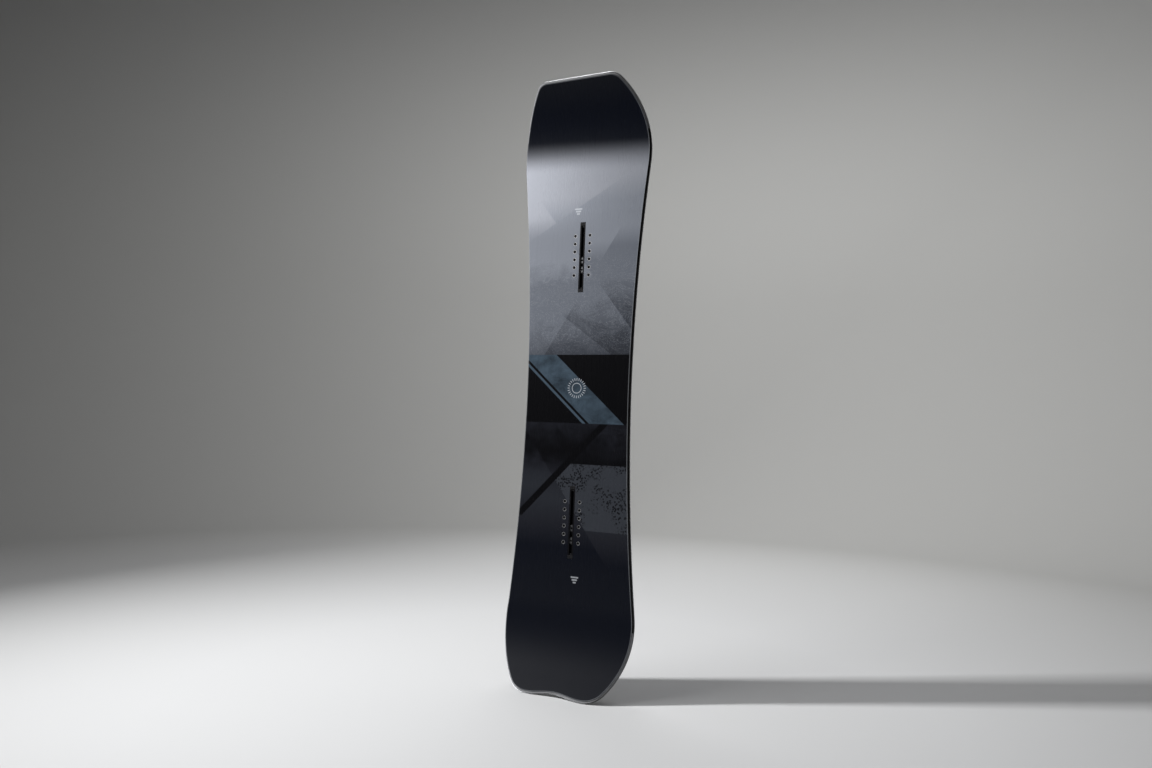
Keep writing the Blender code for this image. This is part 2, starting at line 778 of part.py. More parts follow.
def make_teeth(path, hand):
    """The row of teeth that anchors one edge in the laminate."""
    root = EDGE_WIDTH + FLANGE_WEB / 2
    low = FLANGE_BOTTOM + TOOTH_RELIEF
    high = FLANGE_TOP - TOOTH_RELIEF
    half = TOOTH_LENGTH / 2
    tooth = box("tooth", (root, -half, low), (TOOTH_INSET, half, high))
    bm = bmesh.new()
    for x, s, nx, ns in tooth_places(path):
        copy = tooth.copy()
        inward = Matrix(((-nx, ns, 0, x), (-ns, -nx, 0, s), (0, 0, 1, 0), (0, 0, 0, 1)))
        copy.transform(inward)
        if hand < 0:
            copy.transform(Matrix.Diagonal((-1, 1, 1, 1)))
            copy.flip_normals()
        bm.from_mesh(copy)
        bpy.data.meshes.remove(copy)
    mesh = bpy.data.meshes.new("teeth")
    bm.to_mesh(mesh)
    bm.free()
    return mesh


def make_edge(name, hand):
    path = half_path(LAYER_GAP / 2)
    web = EDGE_WIDTH + FLANGE_WEB
    section = (
        (0.0, 0.0),
        (0.0, EDGE_HEIGHT),
        (EDGE_WIDTH, EDGE_HEIGHT),
        (EDGE_WIDTH, FLANGE_TOP),
        (web, FLANGE_TOP),
        (web, FLANGE_BOTTOM),
        (EDGE_WIDTH, FLANGE_BOTTOM),
        (EDGE_WIDTH, 0.0),
    )
    flat = side_strip(name, tidy_section(section), path, hand)
    flat = combine(flat, make_teeth(path, hand), "UNION")
    finish = make_material(name + "_steel", (0.62, 0.63, 0.65), 0.28, 1.0)
    return link(name, press(flat), finish)


def tidy_section(section):
    """Drop the corners of a section that repeat, or lie on a line between their neighbours."""
    kept = []
    for corner in section:
        if not kept or math.dist(corner, kept[-1]) > MERGE:
            kept.append(corner)
    turns = []
    for i, (x, n) in enumerate(kept):
        xa, na = kept[i - 1]
        xb, nb = kept[(i + 1) % len(kept)]
        if abs((x - xa) * (nb - na) - (n - na) * (xb - xa)) > MERGE * MERGE:
            turns.append((x, n))
    return turns


def make_foil(name, hand):
    path = half_path(LAYER_GAP / 2)
    section = (
        (FOIL_INSET, FOIL_BOTTOM),
        (FOIL_INSET, FOIL_TOP),
        (TOOTH_INSET, FOIL_TOP),
        (TOOTH_INSET, FOIL_BOTTOM),
    )
    finish = make_material(name + "_rubber", (0.02, 0.02, 0.02), 0.8)
    return link(name, press(side_strip(name, section, path, hand)), finish)


# The channels


def along_board(name, section, low, high):
    """A section drawn in (x, height) and run along the board from low to high."""
    stand = Matrix(((1, 0, 0, 0), (0, 0, 1, 0), (0, 1, 0, 0), (0, 0, 0, 1)))
    return plate(name, [section], low, high, stand)


def make_rail(name, centre):
    outer = RAIL_WIDTH / 2
    mouth = RAIL_MOUTH / 2
    right = [
        (RAIL_BASE_HALF, CORE_BOTTOM),
        (RAIL_BASE_HALF, RAIL_CAVITY_FLOOR),
        (outer, RAIL_CAVITY_FLOOR),
        (outer, RAIL_TOP),
        (mouth, RAIL_TOP),
        (mouth, RAIL_CAVITY_TOP),
        (RAIL_CAVITY_HALF, RAIL_CAVITY_TOP),
        (RAIL_CAVITY_HALF, RAIL_CAVITY_FLOOR),
    ]
    section = right + [(-x, n) for x, n in reversed(right)]
    half = RAIL_LENGTH / 2
    flat = along_board(name, section, centre - half, centre + half)
    finish = make_material(name + "_anodised", (0.015, 0.015, 0.017), 0.4, 0.6)
    return link(name, press(flat, facet=False), finish)


def make_plug(name, rail_centre, toward):
    """End plug: a head as wide as the rail, with a tongue inside it."""
    seat = rail_centre + toward * (RAIL_LENGTH / 2 + LAYER_GAP)
    far = seat + toward * PLUG_LENGTH
    near = seat - toward * (PLUG_TONGUE + LAYER_GAP)
    bottom = RAIL_CAVITY_FLOOR + LAYER_GAP
    head_half = RAIL_WIDTH / 2
    head = box(name, (-head_half, min(seat, far), bottom), (head_half, max(seat, far), RAIL_TOP))
    inside = seat + toward * PLUG_LENGTH / 2
    tongue_half = RAIL_CAVITY_HALF - LAYER_GAP
    tongue_top = RAIL_CAVITY_TOP - LAYER_GAP
    tongue = box(
        "tongue",
        (-tongue_half, min(near, inside), bottom),
        (tongue_half, max(near, inside), tongue_top),
    )
    flat = combine(head, tongue, "UNION")
    finish = make_material(name + "_nylon", (0.12, 0.12, 0.13), 0.5)
    return link(name, press(flat, facet=False), finish)


def circle(radius):
    """A round hole's corners."""
    corners = []
    for step in range(ROUND_SIDES):
        angle = 2 * math.pi * (step + 0.5) / ROUND_SIDES
        corners.append((radius * math.cos(angle), radius * math.sin(angle)))
    return corners


def nut_mesh():
    """The sliding nut, centred on its thread in the flat layout."""
    wide = NUT_HALF
    long = NUT_LENGTH / 2
    cut = NUT_CHAMFER
    corners = [(wide - cut, long), (wide, long - cut)]
    corners += [(x, -y) for x, y in reversed(corners)]
    corners += [(-x, y) for x, y in reversed(corners)]
    bottom = RAIL_CAVITY_FLOOR + 2 * LAYER_GAP + CRADLE_FLOOR
    top = RAIL_CAVITY_TOP - LAYER_GAP
    return plate("channel_nut", [corners, circle(NUT_BORE / 2)], bottom, top)


def cradle_mesh():
    """The cradle under the nut, turned up at both ends."""
    long = CRADLE_LENGTH / 2
    inner = NUT_LENGTH / 2 + LAYER_GAP
    bottom = RAIL_CAVITY_FLOOR + LAYER_GAP
    floor = bottom + CRADLE_FLOOR
    top = RAIL_CAVITY_TOP - LAYER_GAP - CRADLE_END_DEPTH
    section = [(long, bottom), (long, top), (inner, top), (inner, floor)]
    section += [(-s, n) for s, n in reversed(section)]
    stand = Matrix(((0, 0, 1, 0), (1, 0, 0, 0), (0, 1, 0, 0), (0, 0, 0, 1)))
    return plate("nut_cradle", [section], -NUT_HALF, NUT_HALF, stand)


def standing(name, mesh, x, s):
    """An object that keeps its own flat mesh and is stood up in the straight part of the board."""
    made = link(name, mesh)
    made.rotation_euler = (math.pi / 2, 0.0, 0.0)
    made.location = pressed(x, s, 0.0)
    return made


def make_nuts():
    steel = make_material("zinc_plated_steel", (0.75, 0.75, 0.77), 0.25, 1.0)
    nylon = make_material("cradle_nylon", (0.03, 0.03, 0.03), 0.5)
    nut = nut_mesh()
    nut.materials.append(steel)
    cradle = cradle_mesh()
    cradle.materials.append(nylon)
    for pack, centre, offsets in (
        ("front", FRONT_PACK, FRONT_NUT_OFFSETS),
        ("rear", REAR_PACK, REAR_NUT_OFFSETS),
    ):
        for which, offset in zip(("upper", "lower"), offsets):
            standing(f"{pack}_channel_nut_{which}", nut, 0.0, centre + offset)
            standing(f"{pack}_nut_cradle_{which}", cradle, 0.0, centre + offset)


def make_inserts():
    bore = INSERT_BORE / 2
    barrel = INSERT_BARREL / 2
    flange = INSERT_FLANGE / 2
    shoulder = CORE_BOTTOM + INSERT_FLANGE_THICKNESS
    top = TOPSHEET_TOP - INSERT_TOP_DEPTH
    profile = [
        (bore, top),
        (barrel, top),
        (barrel, shoulder),
        (flange, shoulder),
        (flange, CORE_BOTTOM),
        (bore, CORE_BOTTOM),
    ]
    insert = turned("insert", profile)
    insert.materials.append(make_material("stainless_insert", (0.7, 0.7, 0.72), 0.3, 1.0))
    for name, x, s in insert_places():
        standing(name, insert, x, s)


def settle_on_origin():
    """Move the whole board so that its box is centred on Z and stands on the floor plane."""
    bpy.context.view_layer.update()
    corners = []
    for piece in COLLECTION.objects:
        corners += [piece.matrix_world @ vert.co for vert in piece.data.vertices]
    low = Vector([min(corner[axis] for corner in corners) for axis in range(3)])
    high = Vector([max(corner[axis] for corner in corners) for axis in range(3)])
    shift = Vector((-(low.x + high.x) / 2, -(low.y + high.y) / 2, -low.z))
    for piece in COLLECTION.objects:
        piece.location += shift
    print("board box", [round(side, 5) for side in high - low])
    print("running base plane at y", round(shift.y, 5))
    print("tail contact at z", round(STATIONS[BEND_FACETS][2] + shift.z, 5))
    for name, s in (("front pack", FRONT_PACK), ("rear pack", REAR_PACK)):
        print(name, "centre at z", round(pressed(0.0, s, 0.0).z + shift.z, 5))


def build():
    clear_scene()
    make_base_sheet()
    for side, hand in (("left", -1), ("right", 1)):
        make_edge("steel_edge_" + side, hand)
        make_foil("rubber_foil_" + side, hand)
        make_sidewall("sidewall_" + side, hand)
    make_lower_glass()
    make_core()
    make_spacer("nose_spacer", SURFACE_LENGTH - NOSE_SPACER_LENGTH, SURFACE_LENGTH)
    make_spacer("tail_spacer", 0.0, TAIL_SPACER_LENGTH)
    make_upper_glass()
    make_topsheet()
    for pack, centre in zip(("front", "rear"), rail_centres()):
        make_rail(pack + "_channel", centre)
    front, rear = rail_centres()
    make_plug("front_channel_nose_plug", front, 1)
    make_plug("front_channel_waist_plug", front, -1)
    make_plug("rear_channel_waist_plug", rear, 1)
    make_plug("rear_channel_tail_plug", rear, -1)
    make_nuts()
    make_inserts()
    settle_on_origin()


build()
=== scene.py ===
# %% [markdown]
# # Dressing a directional snowboard
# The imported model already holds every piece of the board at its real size. This lesson
# gives those pieces their finish: a printed gloss topsheet, ground steel edges, black
# sidewalls, anodised channel rails and turned inserts. Nothing here moves a CAD part.

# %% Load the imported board
import math

import bmesh
import bpy
import numpy as np
from mathutils import Matrix, Vector


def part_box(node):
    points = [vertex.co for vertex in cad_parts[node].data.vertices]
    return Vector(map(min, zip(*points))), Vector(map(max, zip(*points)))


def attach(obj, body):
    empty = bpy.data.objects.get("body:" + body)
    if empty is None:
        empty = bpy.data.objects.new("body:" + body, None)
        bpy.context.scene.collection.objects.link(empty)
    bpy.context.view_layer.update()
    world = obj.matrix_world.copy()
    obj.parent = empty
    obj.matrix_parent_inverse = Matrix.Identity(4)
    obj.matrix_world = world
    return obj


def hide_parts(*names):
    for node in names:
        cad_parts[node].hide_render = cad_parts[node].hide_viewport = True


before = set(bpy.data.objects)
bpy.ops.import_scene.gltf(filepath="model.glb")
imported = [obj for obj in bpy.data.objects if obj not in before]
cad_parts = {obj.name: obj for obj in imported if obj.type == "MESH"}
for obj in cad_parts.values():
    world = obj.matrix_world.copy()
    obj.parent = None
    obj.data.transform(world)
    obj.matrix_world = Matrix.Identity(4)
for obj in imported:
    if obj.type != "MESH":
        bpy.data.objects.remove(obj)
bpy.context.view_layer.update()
MM = 0.001
print("CAD nodes:", len(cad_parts))

# %% [markdown]
# ## The camera
# A photograph fixes its camera: where lines converge gives the distance, and how the two
# insert packs line up gives the turn. Here the camera stands in front of the board and to
# its right, a little below its middle, and leans by two degrees. The focal length and the
# principal point are given in pixels of a picture that is 1152 pixels wide.

# %% Place the camera
PICTURE = (1152, 768)
CAMERA_TURN = math.radians(25.0)
CAMERA_RISE = math.radians(-3.4757)
CAMERA_LEAN = math.radians(2.2638)
CAMERA_DISTANCE = 2.0450
FOCAL_PIXELS = 821.957
PRINCIPAL_POINT = (578.6, 382.59)
SENSOR = 36.0
LOOK_AT = Vector((0.0, 0.0388, 0.7496))

back = Vector((
    math.sin(CAMERA_TURN) * math.cos(CAMERA_RISE),
    -math.cos(CAMERA_TURN) * math.cos(CAMERA_RISE),
    math.sin(CAMERA_RISE),
))
lens = bpy.data.cameras.new("studio_camera")
lens.sensor_width = SENSOR
lens.lens = FOCAL_PIXELS / PICTURE[0] * SENSOR
lens.shift_x = (PICTURE[0] / 2 - PRINCIPAL_POINT[0]) / PICTURE[0]
lens.shift_y = (PRINCIPAL_POINT[1] - PICTURE[1] / 2) / PICTURE[0]
camera = bpy.data.objects.new("studio_camera", lens)
bpy.context.scene.collection.objects.link(camera)
straight = back.to_track_quat("Z", "Y").to_matrix().to_4x4()
leaned = straight @ Matrix.Rotation(CAMERA_LEAN, 4, "Z")
camera.matrix_world = Matrix.Translation(LOOK_AT + CAMERA_DISTANCE * back) @ leaned
bpy.context.scene.camera = camera
print("camera at", [round(v, 3) for v in camera.matrix_world.translation])
print("lens", round(lens.lens, 2))

# %% [markdown]
# ## The flat layout
# A snowboard is laid up flat and then pressed. Working the same way is easiest here too:
# each piece is drawn flat, with x across the board, s along it from the tail and n up from
# the running base. One function then bends it. These sizes are the part's own. A bend is
# given as (length, radius), a shoulder as (length, radius, corner radius) and the notch as
# (width, depth).

# %% Sizes of the outline and the bends
CONTACT_LENGTH = 1.105
NOSE_BEND = (0.200, 0.255)
TAIL_BEND = (0.231, 0.345)
WAIST_HALF = 0.142
WAIST_PLACE = 0.748
SIDECUT_RADIUS = 5.10
NOSE_SHOULDER = (0.236, 0.320, 0.038)
TAIL_SHOULDER = (0.206, 0.260, 0.060)
NOTCH = (0.140, 0.008)
NOSE_CONTACT = TAIL_BEND[0] + CONTACT_LENGTH
SURFACE_LENGTH = NOSE_CONTACT + NOSE_BEND[0]
FRONT_PACK = 1.0845
REAR_PACK = 0.4225
COLUMN = 20.0
ROWS = 6
ROW_PITCH = 20.0
FLAT_FROM = REAR_PACK - 0.110
FLAT_TO = FRONT_PACK + 0.110
BASE_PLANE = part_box("base_sheet")[1].y
print("surface length", SURFACE_LENGTH, "base plane at y", round(BASE_PLANE, 4))


# %% Draw the outline
def half_to_tip(reach, shoulder_length, shoulder_radius, corner_radius):
    """(x, distance from the waist, normal x, normal s) from the waist to a tip's corner."""
    flare = math.asin((reach - shoulder_length) / SIDECUT_RADIUS)
    drop = shoulder_length - shoulder_radius * math.sin(flare) - corner_radius
    turn = math.asin(min(drop / (shoulder_radius - corner_radius), 1.0))
    x, s, points = WAIST_HALF, 0.0, []
    arcs = (
        (-SIDECUT_RADIUS, 0.0, flare, 26),
        (shoulder_radius, flare, -turn, 34),
        (corner_radius, -turn, -math.pi / 2, 14),
    )
    for radius, start, end, steps in arcs:
        for step in range(steps):
            heading = start + (end - start) * step / steps
            points.append((
                x + radius * (math.cos(heading) - math.cos(start)),
                s + radius * (math.sin(start) - math.sin(heading)),
                math.cos(heading),
                -math.sin(heading),
            ))
        x += radius * (math.cos(end) - math.cos(start))
        s += radius * (math.sin(start) - math.sin(end))
    points.append((x, s, 0.0, 1.0))
    return points


def tail_notch(steps=20):
    """The right half of the shallow dip in the tail."""
    width, depth = NOTCH
    points = []
    for step in range(steps + 1):
        x = width / 2 * step / steps
        phase = 2 * math.pi * x / width
        slope = -depth / 2 * math.sin(phase) * 2 * math.pi / width
        length = math.hypot(1.0, slope)
        points.append((x, depth / 2 * (1 + math.cos(phase)), slope / length, -1.0 / length))
    return points


def right_side():
    """The right half of the board, from the tail's centre to the nose's centre."""
    nose = half_to_tip(SURFACE_LENGTH - WAIST_PLACE, *NOSE_SHOULDER)
    tail = half_to_tip(WAIST_PLACE, *TAIL_SHOULDER)
    path = [point for point in tail_notch() if point[0] < tail[-1][0] - 0.3 * MM]
    path += [(x, WAIST_PLACE - s, nx, -ns) for x, s, nx, ns in reversed(tail[1:])]
    path += [(x, WAIST_PLACE + s, nx, ns) for x, s, nx, ns in nose]
    path.append((0.0, SURFACE_LENGTH, 0.0, 1.0))
    return path


RIGHT_SIDE = right_side()


def outline(inset):
    """The whole outline as (x, s) points, drawn in by inset."""
    half = [(x - inset * nx, s - inset * ns) for x, s, nx, ns in RIGHT_SIDE]
    return half + [(-x, s) for x, s in reversed(half[1:-1])]


print("outline points:", len(outline(0.0)))

# %% [markdown]
# ## The press
# The press does three things: it thins the stack towards the tips, it bends nose and tail
# along true arcs, and it stands the board up on its tail. Wide faces are sliced across the
# bends first, because a face can only follow a curve at its own corners.

# %% Bend a flat mesh
SIDEWALL_BOTTOM = 3.8 * MM
CORE_TOP = 8.4 * MM
TIP_THINNING = 3.4 * MM
SLICE = 5.0 * MM


def sidewall_height(s):
    """Height of the sidewall at s, full between the packs and thinner towards the tips."""
    full = CORE_TOP - SIDEWALL_BOTTOM
    if s < FLAT_FROM:
        return full - TIP_THINNING * (1 - s / FLAT_FROM)
    if s > FLAT_TO:
        return full - TIP_THINNING * (s - FLAT_TO) / (SURFACE_LENGTH - FLAT_TO)
    return full


def pressed(x, s, n):
    """Where a point of the flat layout ends up on the standing board."""
    full = CORE_TOP - SIDEWALL_BOTTOM
    if n >= CORE_TOP:
        n = n - full + sidewall_height(s)
    elif n > SIDEWALL_BOTTOM:
        n = SIDEWALL_BOTTOM + (n - SIDEWALL_BOTTOM) * sidewall_height(s) / full
    tail_length, tail_radius = TAIL_BEND
    nose_radius = NOSE_BEND[1]
    rise = tail_radius * math.sin(tail_length / tail_radius)
    if s < tail_length:
        angle = (tail_length - s) / tail_radius
        y = -(tail_radius - (tail_radius - n) * math.cos(angle))
        z = rise - (tail_radius - n) * math.sin(angle)
    elif s > NOSE_CONTACT:
        angle = (s - NOSE_CONTACT) / nose_radius
        y = -(nose_radius - (nose_radius - n) * math.cos(angle))
        z = rise + CONTACT_LENGTH + (nose_radius - n) * math.sin(angle)
    else:
        y = -n
        z = rise + s - tail_length
    return Vector((x, BASE_PLANE + y, z))


def slices():
    """Places along the board where wide faces are cut before they are bent."""
    places = [FLAT_FROM, FLAT_TO, TAIL_BEND[0], NOSE_CONTACT]
    places += list(np.arange(SLICE, TAIL_BEND[0], SLICE))
    places += list(np.arange(NOSE_CONTACT + SLICE, SURFACE_LENGTH, SLICE))
    return places


def press(mesh, sliced=True):
    """Slice, note the flat layout as the UV map named layout, and bend."""
    bm = bmesh.new()
    bm.from_mesh(mesh)
    if sliced:
        for place in slices():
            geometry = bm.verts[:] + bm.edges[:] + bm.faces[:]
            plane = {"plane_co": (0, place, 0), "plane_no": (0, 1, 0)}
            bmesh.ops.bisect_plane(bm, geom=geometry, dist=1e-6, **plane)
    layout = bm.loops.layers.uv.new("layout")
    for face in bm.faces:
        for loop in face.loops:
            loop[layout].uv = loop.vert.co.xy
    for vert in bm.verts:
        vert.co = pressed(*vert.co)
    bm.to_mesh(mesh)
    bm.free()
    return mesh


print("sidewall height, middle and tip:", sidewall_height(0.7), round(sidewall_height(0.0), 5))

# %% [markdown]
# ## Shader sums
# A shader pattern is arithmetic on numbers that change over the surface. Wrapping a node's
# socket in a small class lets that arithmetic be written as ordinary Python, and each
# operator adds one Math node. All other nodes come from a single method.


# %% A socket that can be added, multiplied and compared
class Reading:
    """A number that changes over the surface."""

    def __init__(self, finish, socket):
        self.finish = finish
        self.socket = socket

    def math(self, operation, *others):
        inputs = {0: self}
        inputs.update({i + 1: other for i, other in enumerate(others)})
        return self.finish.node("ShaderNodeMath", {"operation": operation}, inputs)

    def __add__(self, other):
        return self.math("ADD", other)

    def __mul__(self, other):
        return self.math("MULTIPLY", other)

    def __sub__(self, other):
        return self.math("SUBTRACT", other)

    def __truediv__(self, other):
        return self.math("DIVIDE", other)

    def __rsub__(self, other):
        return self * -1.0 + other

    __radd__ = __add__
    __rmul__ = __mul__

    def above(self, edge, blur=0.0005):
        """1 where the reading passes edge, with an edge as soft as blur."""
        return ((self - edge) / blur + 0.5).clamp()

    def between(self, low, high, blur=0.0005):
        return self.above(low, blur) * (1 - self.above(high, blur))

    def clamp(self):
        return self.math("MAXIMUM", 0.0).math("MINIMUM", 1.0)

    def absolute(self):
        return self.math("ABSOLUTE")

    def repeat(self, pitch):
        """Distance from the middle of the nearest cell of this pitch."""
        return (self.math("PINGPONG", pitch / 2) * -1.0 + pitch / 2).absolute()


class Finish:
    """One material, built node by node."""

    def __init__(self, name):
        self.material = bpy.data.materials.new(name)
        self.material.use_nodes = True
        self.tree = self.material.node_tree
        self.shader = self.tree.nodes["Principled BSDF"]

    def node(self, kind, settings=None, inputs=None, output=0):
        made = self.tree.nodes.new(kind)
        for key, value in (settings or {}).items():
            setattr(made, key, value)
        for key, value in (inputs or {}).items():
            self.feed(made.inputs[key], value)
        return Reading(self, made.outputs[output])

    def feed(self, socket, value):
        if isinstance(value, Reading):
            self.tree.links.new(value.socket, socket)
        elif isinstance(value, tuple) and socket.type == "RGBA":
            socket.default_value = (*value[:3], 1.0)
        else:
            socket.default_value = value

    def mix(self, share, one, two):
        """Colour one where share is 0 and colour two where it is 1."""
        settings = {"data_type": "RGBA"}
        return self.node("ShaderNodeMix", settings, {0: share, 6: one, 7: two}, 2)

    def parts(self, vector):
        """The first two components of a vector, as two readings."""
        split = self.node("ShaderNodeSeparateXYZ", inputs={0: vector}).socket.node
        return Reading(self, split.outputs[0]), Reading(self, split.outputs[1])

    def layout(self):
        """x and s of the flat layout in metres, and the two as one vector."""
        uv = self.node("ShaderNodeUVMap", {"uv_map": "layout"})
        return *self.parts(uv), uv

    def place(self):
        """Object coordinates, as a vector."""
        return self.node("ShaderNodeTexCoord", output=3)

    def noise(self, vector, scale, detail=4.0, roughness=0.5, distortion=0.0):
        values = {"Vector": vector, "Scale": scale, "Detail": detail, "Roughness": roughness}
        return self.node("ShaderNodeTexNoise", inputs={**values, "Distortion": distortion})

    def stretched(self, vector, scale):
        """The vector with each axis scaled, for grain that runs one way."""
        return self.node("ShaderNodeMapping", inputs={"Vector": vector, "Scale": scale})

    def ramp(self, reading, stops):
        """Colours at rising places between 0 and 1, blended in between."""
        made = self.node("ShaderNodeValToRGB", inputs={0: reading})
        elements = made.socket.node.color_ramp.elements
        while len(elements) < len(stops):
            elements.new(1.0)
        for element, (place, colour) in zip(elements, stops):
            element.position = place
            element.color = (*colour, 1.0)
        return made

    def bump(self, height, distance, strength=1.0):
        values = {"Height": height, "Distance": distance, "Strength": strength}
        return self.node("ShaderNodeBump", inputs=values)

    def surface(self, **values):
        for key, value in values.items():
            self.feed(self.shader.inputs[key.replace("_", " ")], value)
        return self.material


print("shader helpers ready")

# %% [markdown]
# ## The printed topsheet
# On the real board the print sits under clear nylon, so the colour is flat ink and the
# shine lies on top of it; only the lightest silver is partly painted sheen. Nose and tail
# are plain navy. Between them the ink runs from a silvery slate down to near black, and
# slanted shards shift that run up or down, which gives sharp facets with one ramp. Contour
# lines, a strap, a speckled panel, a slanted band, a dial and short plain bars lie over
# it, and pale paint on the milled rim is a painted highlight along its bevel.

# %% Inks
NAVY = (0.0036, 0.0045, 0.0080)
BLACK = (0.0025, 0.0025, 0.0032)
# The lightest silver ink below is partly print and partly painted sheen.
SILVER_AND_SHEEN = (0.235, 0.245, 0.275)
STEEL_BLUE = (0.180, 0.193, 0.222)
SLATE = (0.112, 0.122, 0.144)
DUSK = (0.038, 0.042, 0.052)
GRAPHITE = (0.018, 0.020, 0.025)
INK = (0.0120, 0.0127, 0.0170)
PALE = (0.42, 0.44, 0.47)
PANEL_GREY = (0.030, 0.033, 0.040)
ACCENT = (0.060, 0.088, 0.118)


# %% Where the motifs lie
# Ranges run along the board. A slanted line is its slope in degrees and the place where it
# meets the middle of the board; a shard adds how far it shifts the run.
SHARDS = (
    (30.0, 1.215, 0.045),
    (-52.0, 1.075, -0.050),
    (58.0, 0.985, 0.035),
    (-36.0, 0.900, -0.030),
    (46.0, 0.585, -0.030),
    (-54.0, 0.455, 0.035),
)
RUN_STOPS = (
    (0.00, NAVY), (0.36, NAVY), (0.42, INK), (0.48, GRAPHITE), (0.54, INK), (0.60, BLACK),
    (0.68, INK), (0.76, BLACK), (0.85, DUSK), (0.95, SLATE), (1.03, SLATE),
    # The silver at the top of the run is partly painted sheen.
    (1.08, STEEL_BLUE), (1.18, STEEL_BLUE), (1.24, SILVER_AND_SHEEN),
)
RUN_SCALE = 1.4
CONTOURS = (0.84, 1.08)
RIDGED = (0.84, 1.06)
MURK = (0.555, 0.665)
PANEL = (0.405, 0.565)
PANEL_SIDE = (-54.0, 0.455)
STRAP_LINE = (46.0, 0.585)
STRAP = (0.43, 0.665)
CENTRE = (0.665, 0.835)
BAND_LINE = (-42.0, 0.752)
DIAL_PLACE = 0.752
DIAL_RADIUS = 0.025
UPPER_BARS = (-0.014, 1.205)
LOWER_BARS = (0.014, 0.292)
NOSE_LINE = (-3.3, 1.339)
METALLIC_RUN = (1.16, 1.335)
DULL_TAIL = 0.13
print("shards:", len(SHARDS))


# %% Shards: slanted bands that shift the ramp
def slant(x, s, degrees, through):
    """Signed distance from a line through (0, through) that rises by degrees to the right."""
    turn = math.radians(degrees)
    return (s - through) * math.cos(turn) - x * math.sin(turn)


def shard_shift(x, s):
    """How far each place on the board is moved along the ink ramp."""
    total = 0.0
    for degrees, through, shift in SHARDS:
        total = slant(x, s, degrees, through).above(0.0) * shift + total
    return total


def dial_motif(x, s, centre, radius):
    """A plain ring of tick marks round a small open circle."""
    along = s - centre
    reach = (x * x + along * along).math("SQRT")
    angle = along.math("ARCTAN2", x)
    ticks = (angle / (2 * math.pi) * 24.0).math("PINGPONG", 0.5)
    ring = reach.between(radius * 0.74, radius) * (1 - ticks.above(0.14, 0.05))
    circle = reach.between(radius * 0.46, radius * 0.52)
    return (ring + circle).clamp()


def bar_marks(x, s, middle, top):
    """Three short plain bars, one under the other and each shorter than the last."""
    pitch, height = 0.0062, 0.0036
    marks = 0.0
    for row, half in enumerate((0.010, 0.007, 0.004)):
        high = top - row * pitch
        marks = x.between(middle - half, middle + half) * s.between(high - height, high) + marks
    return marks


# %% Layers of the print, each laid over the ink below it
def ink_run(finish, x, s, ridges):
    """The run from silver to navy, with contour lines and a murky stretch."""
    wander = (ridges - 0.5) * 0.16 * s.between(*RIDGED, 0.10)
    run = s + shard_shift(x, s) + wander
    stops = [(place / RUN_SCALE, colour) for place, colour in RUN_STOPS]
    ink = finish.ramp(run / RUN_SCALE, stops)
    contour = (ridges * 14.0).math("FRACT").math("PINGPONG", 0.5)
    contour = (1 - contour.above(0.045, 0.03)) * s.between(*CONTOURS, 0.06) * 0.25
    ink = finish.mix(contour, ink, PALE)
    murk = (ridges * 3.2 - 1.1).clamp() * s.between(*MURK, 0.03)
    return finish.mix(murk, ink, BLACK)


def ink_panel(finish, x, s, uv, ink):
    """A speckled panel between two slanted lines, and the strap above it."""
    strap_line = slant(x, s, *STRAP_LINE)
    panel = slant(x, s, *PANEL_SIDE).above(0.0) * (1 - strap_line.above(0.0))
    panel = panel * s.between(*PANEL)
    grain = finish.noise(uv, 9.0, 8.0, 0.62)
    dots = finish.node("ShaderNodeTexVoronoi", inputs={"Vector": uv, "Scale": 190.0})
    specks = (1 - dots.above(0.42, 0.12)) * grain.above(0.49, 0.06)
    ink = finish.mix(panel, ink, PANEL_GREY)
    ink = finish.mix(specks * panel * 0.9, ink, BLACK)
    return finish.mix(strap_line.between(-0.008, 0.008) * s.between(*STRAP), ink, BLACK)


def ink_centre(finish, x, s, ridges, ink):
    """The black centre with its slanted band and stripe."""
    centre = s.between(*CENTRE)
    ink = finish.mix(centre, ink, BLACK)
    band_line = slant(x, s, *BAND_LINE)
    band = band_line.between(-0.040, 0.022) * centre
    ink = finish.mix(band * (ridges * 1.6 - 0.25).clamp(), ink, ACCENT)
    stripe = band_line.between(-0.052, -0.046) * centre
    return finish.mix(stripe * 0.7, ink, ACCENT)


# %% Mix the print
def make_print():
    finish = Finish("topsheet_print")
    x, s, uv = finish.layout()
    ridges = finish.noise(finish.stretched(uv, (1.0, 1.6, 1.0)), 16.0, 10.0, 0.68, 0.6)
    ink = ink_run(finish, x, s, ridges)
    ink = ink_panel(finish, x, s, uv, ink)
    ink = ink_centre(finish, x, s, ridges, ink)
    marks = dial_motif(x, s, DIAL_PLACE, DIAL_RADIUS) * 0.75
    marks = bar_marks(x, s, *UPPER_BARS) * 0.8 + marks
    marks = bar_marks(x, s, *LOWER_BARS) * 0.6 + marks
    ink = finish.mix(marks.clamp(), ink, PALE)
    fade = slant(x, s, *NOSE_LINE).above(0.0, 0.085)
    ink = finish.mix(fade * fade * (3 - fade * 2), ink, NAVY)
    # Pale paint on the rim is a painted highlight: it stands in for the light its bevel catches.
    rim = finish.node("ShaderNodeAttribute", {"attribute_name": "rim"}, output=2)
    ink = finish.mix(rim * 0.22, ink, PALE)
    shine = s.between(*METALLIC_RUN, 0.05) * 0.24
    dulled = (1 - s.above(DULL_TAIL, 0.18)) * 0.30
    orange_peel = finish.noise(uv, 900.0, 2.0)
    scuffs = finish.noise(finish.stretched(uv, (1.0, 0.08, 1.0)), 42.0, 7.0, 0.65)
    return finish.surface(
        Base_Color=ink,
        Metallic=shine,
        Roughness=scuffs * 0.05 + dulled + 0.25,
        Specular_IOR_Level=0.08,
        Normal=finish.bump(orange_peel, 0.00002, 0.5),
    )


TOPSHEET_PRINT = make_print()
print("inks mixed:", TOPSHEET_PRINT.name)

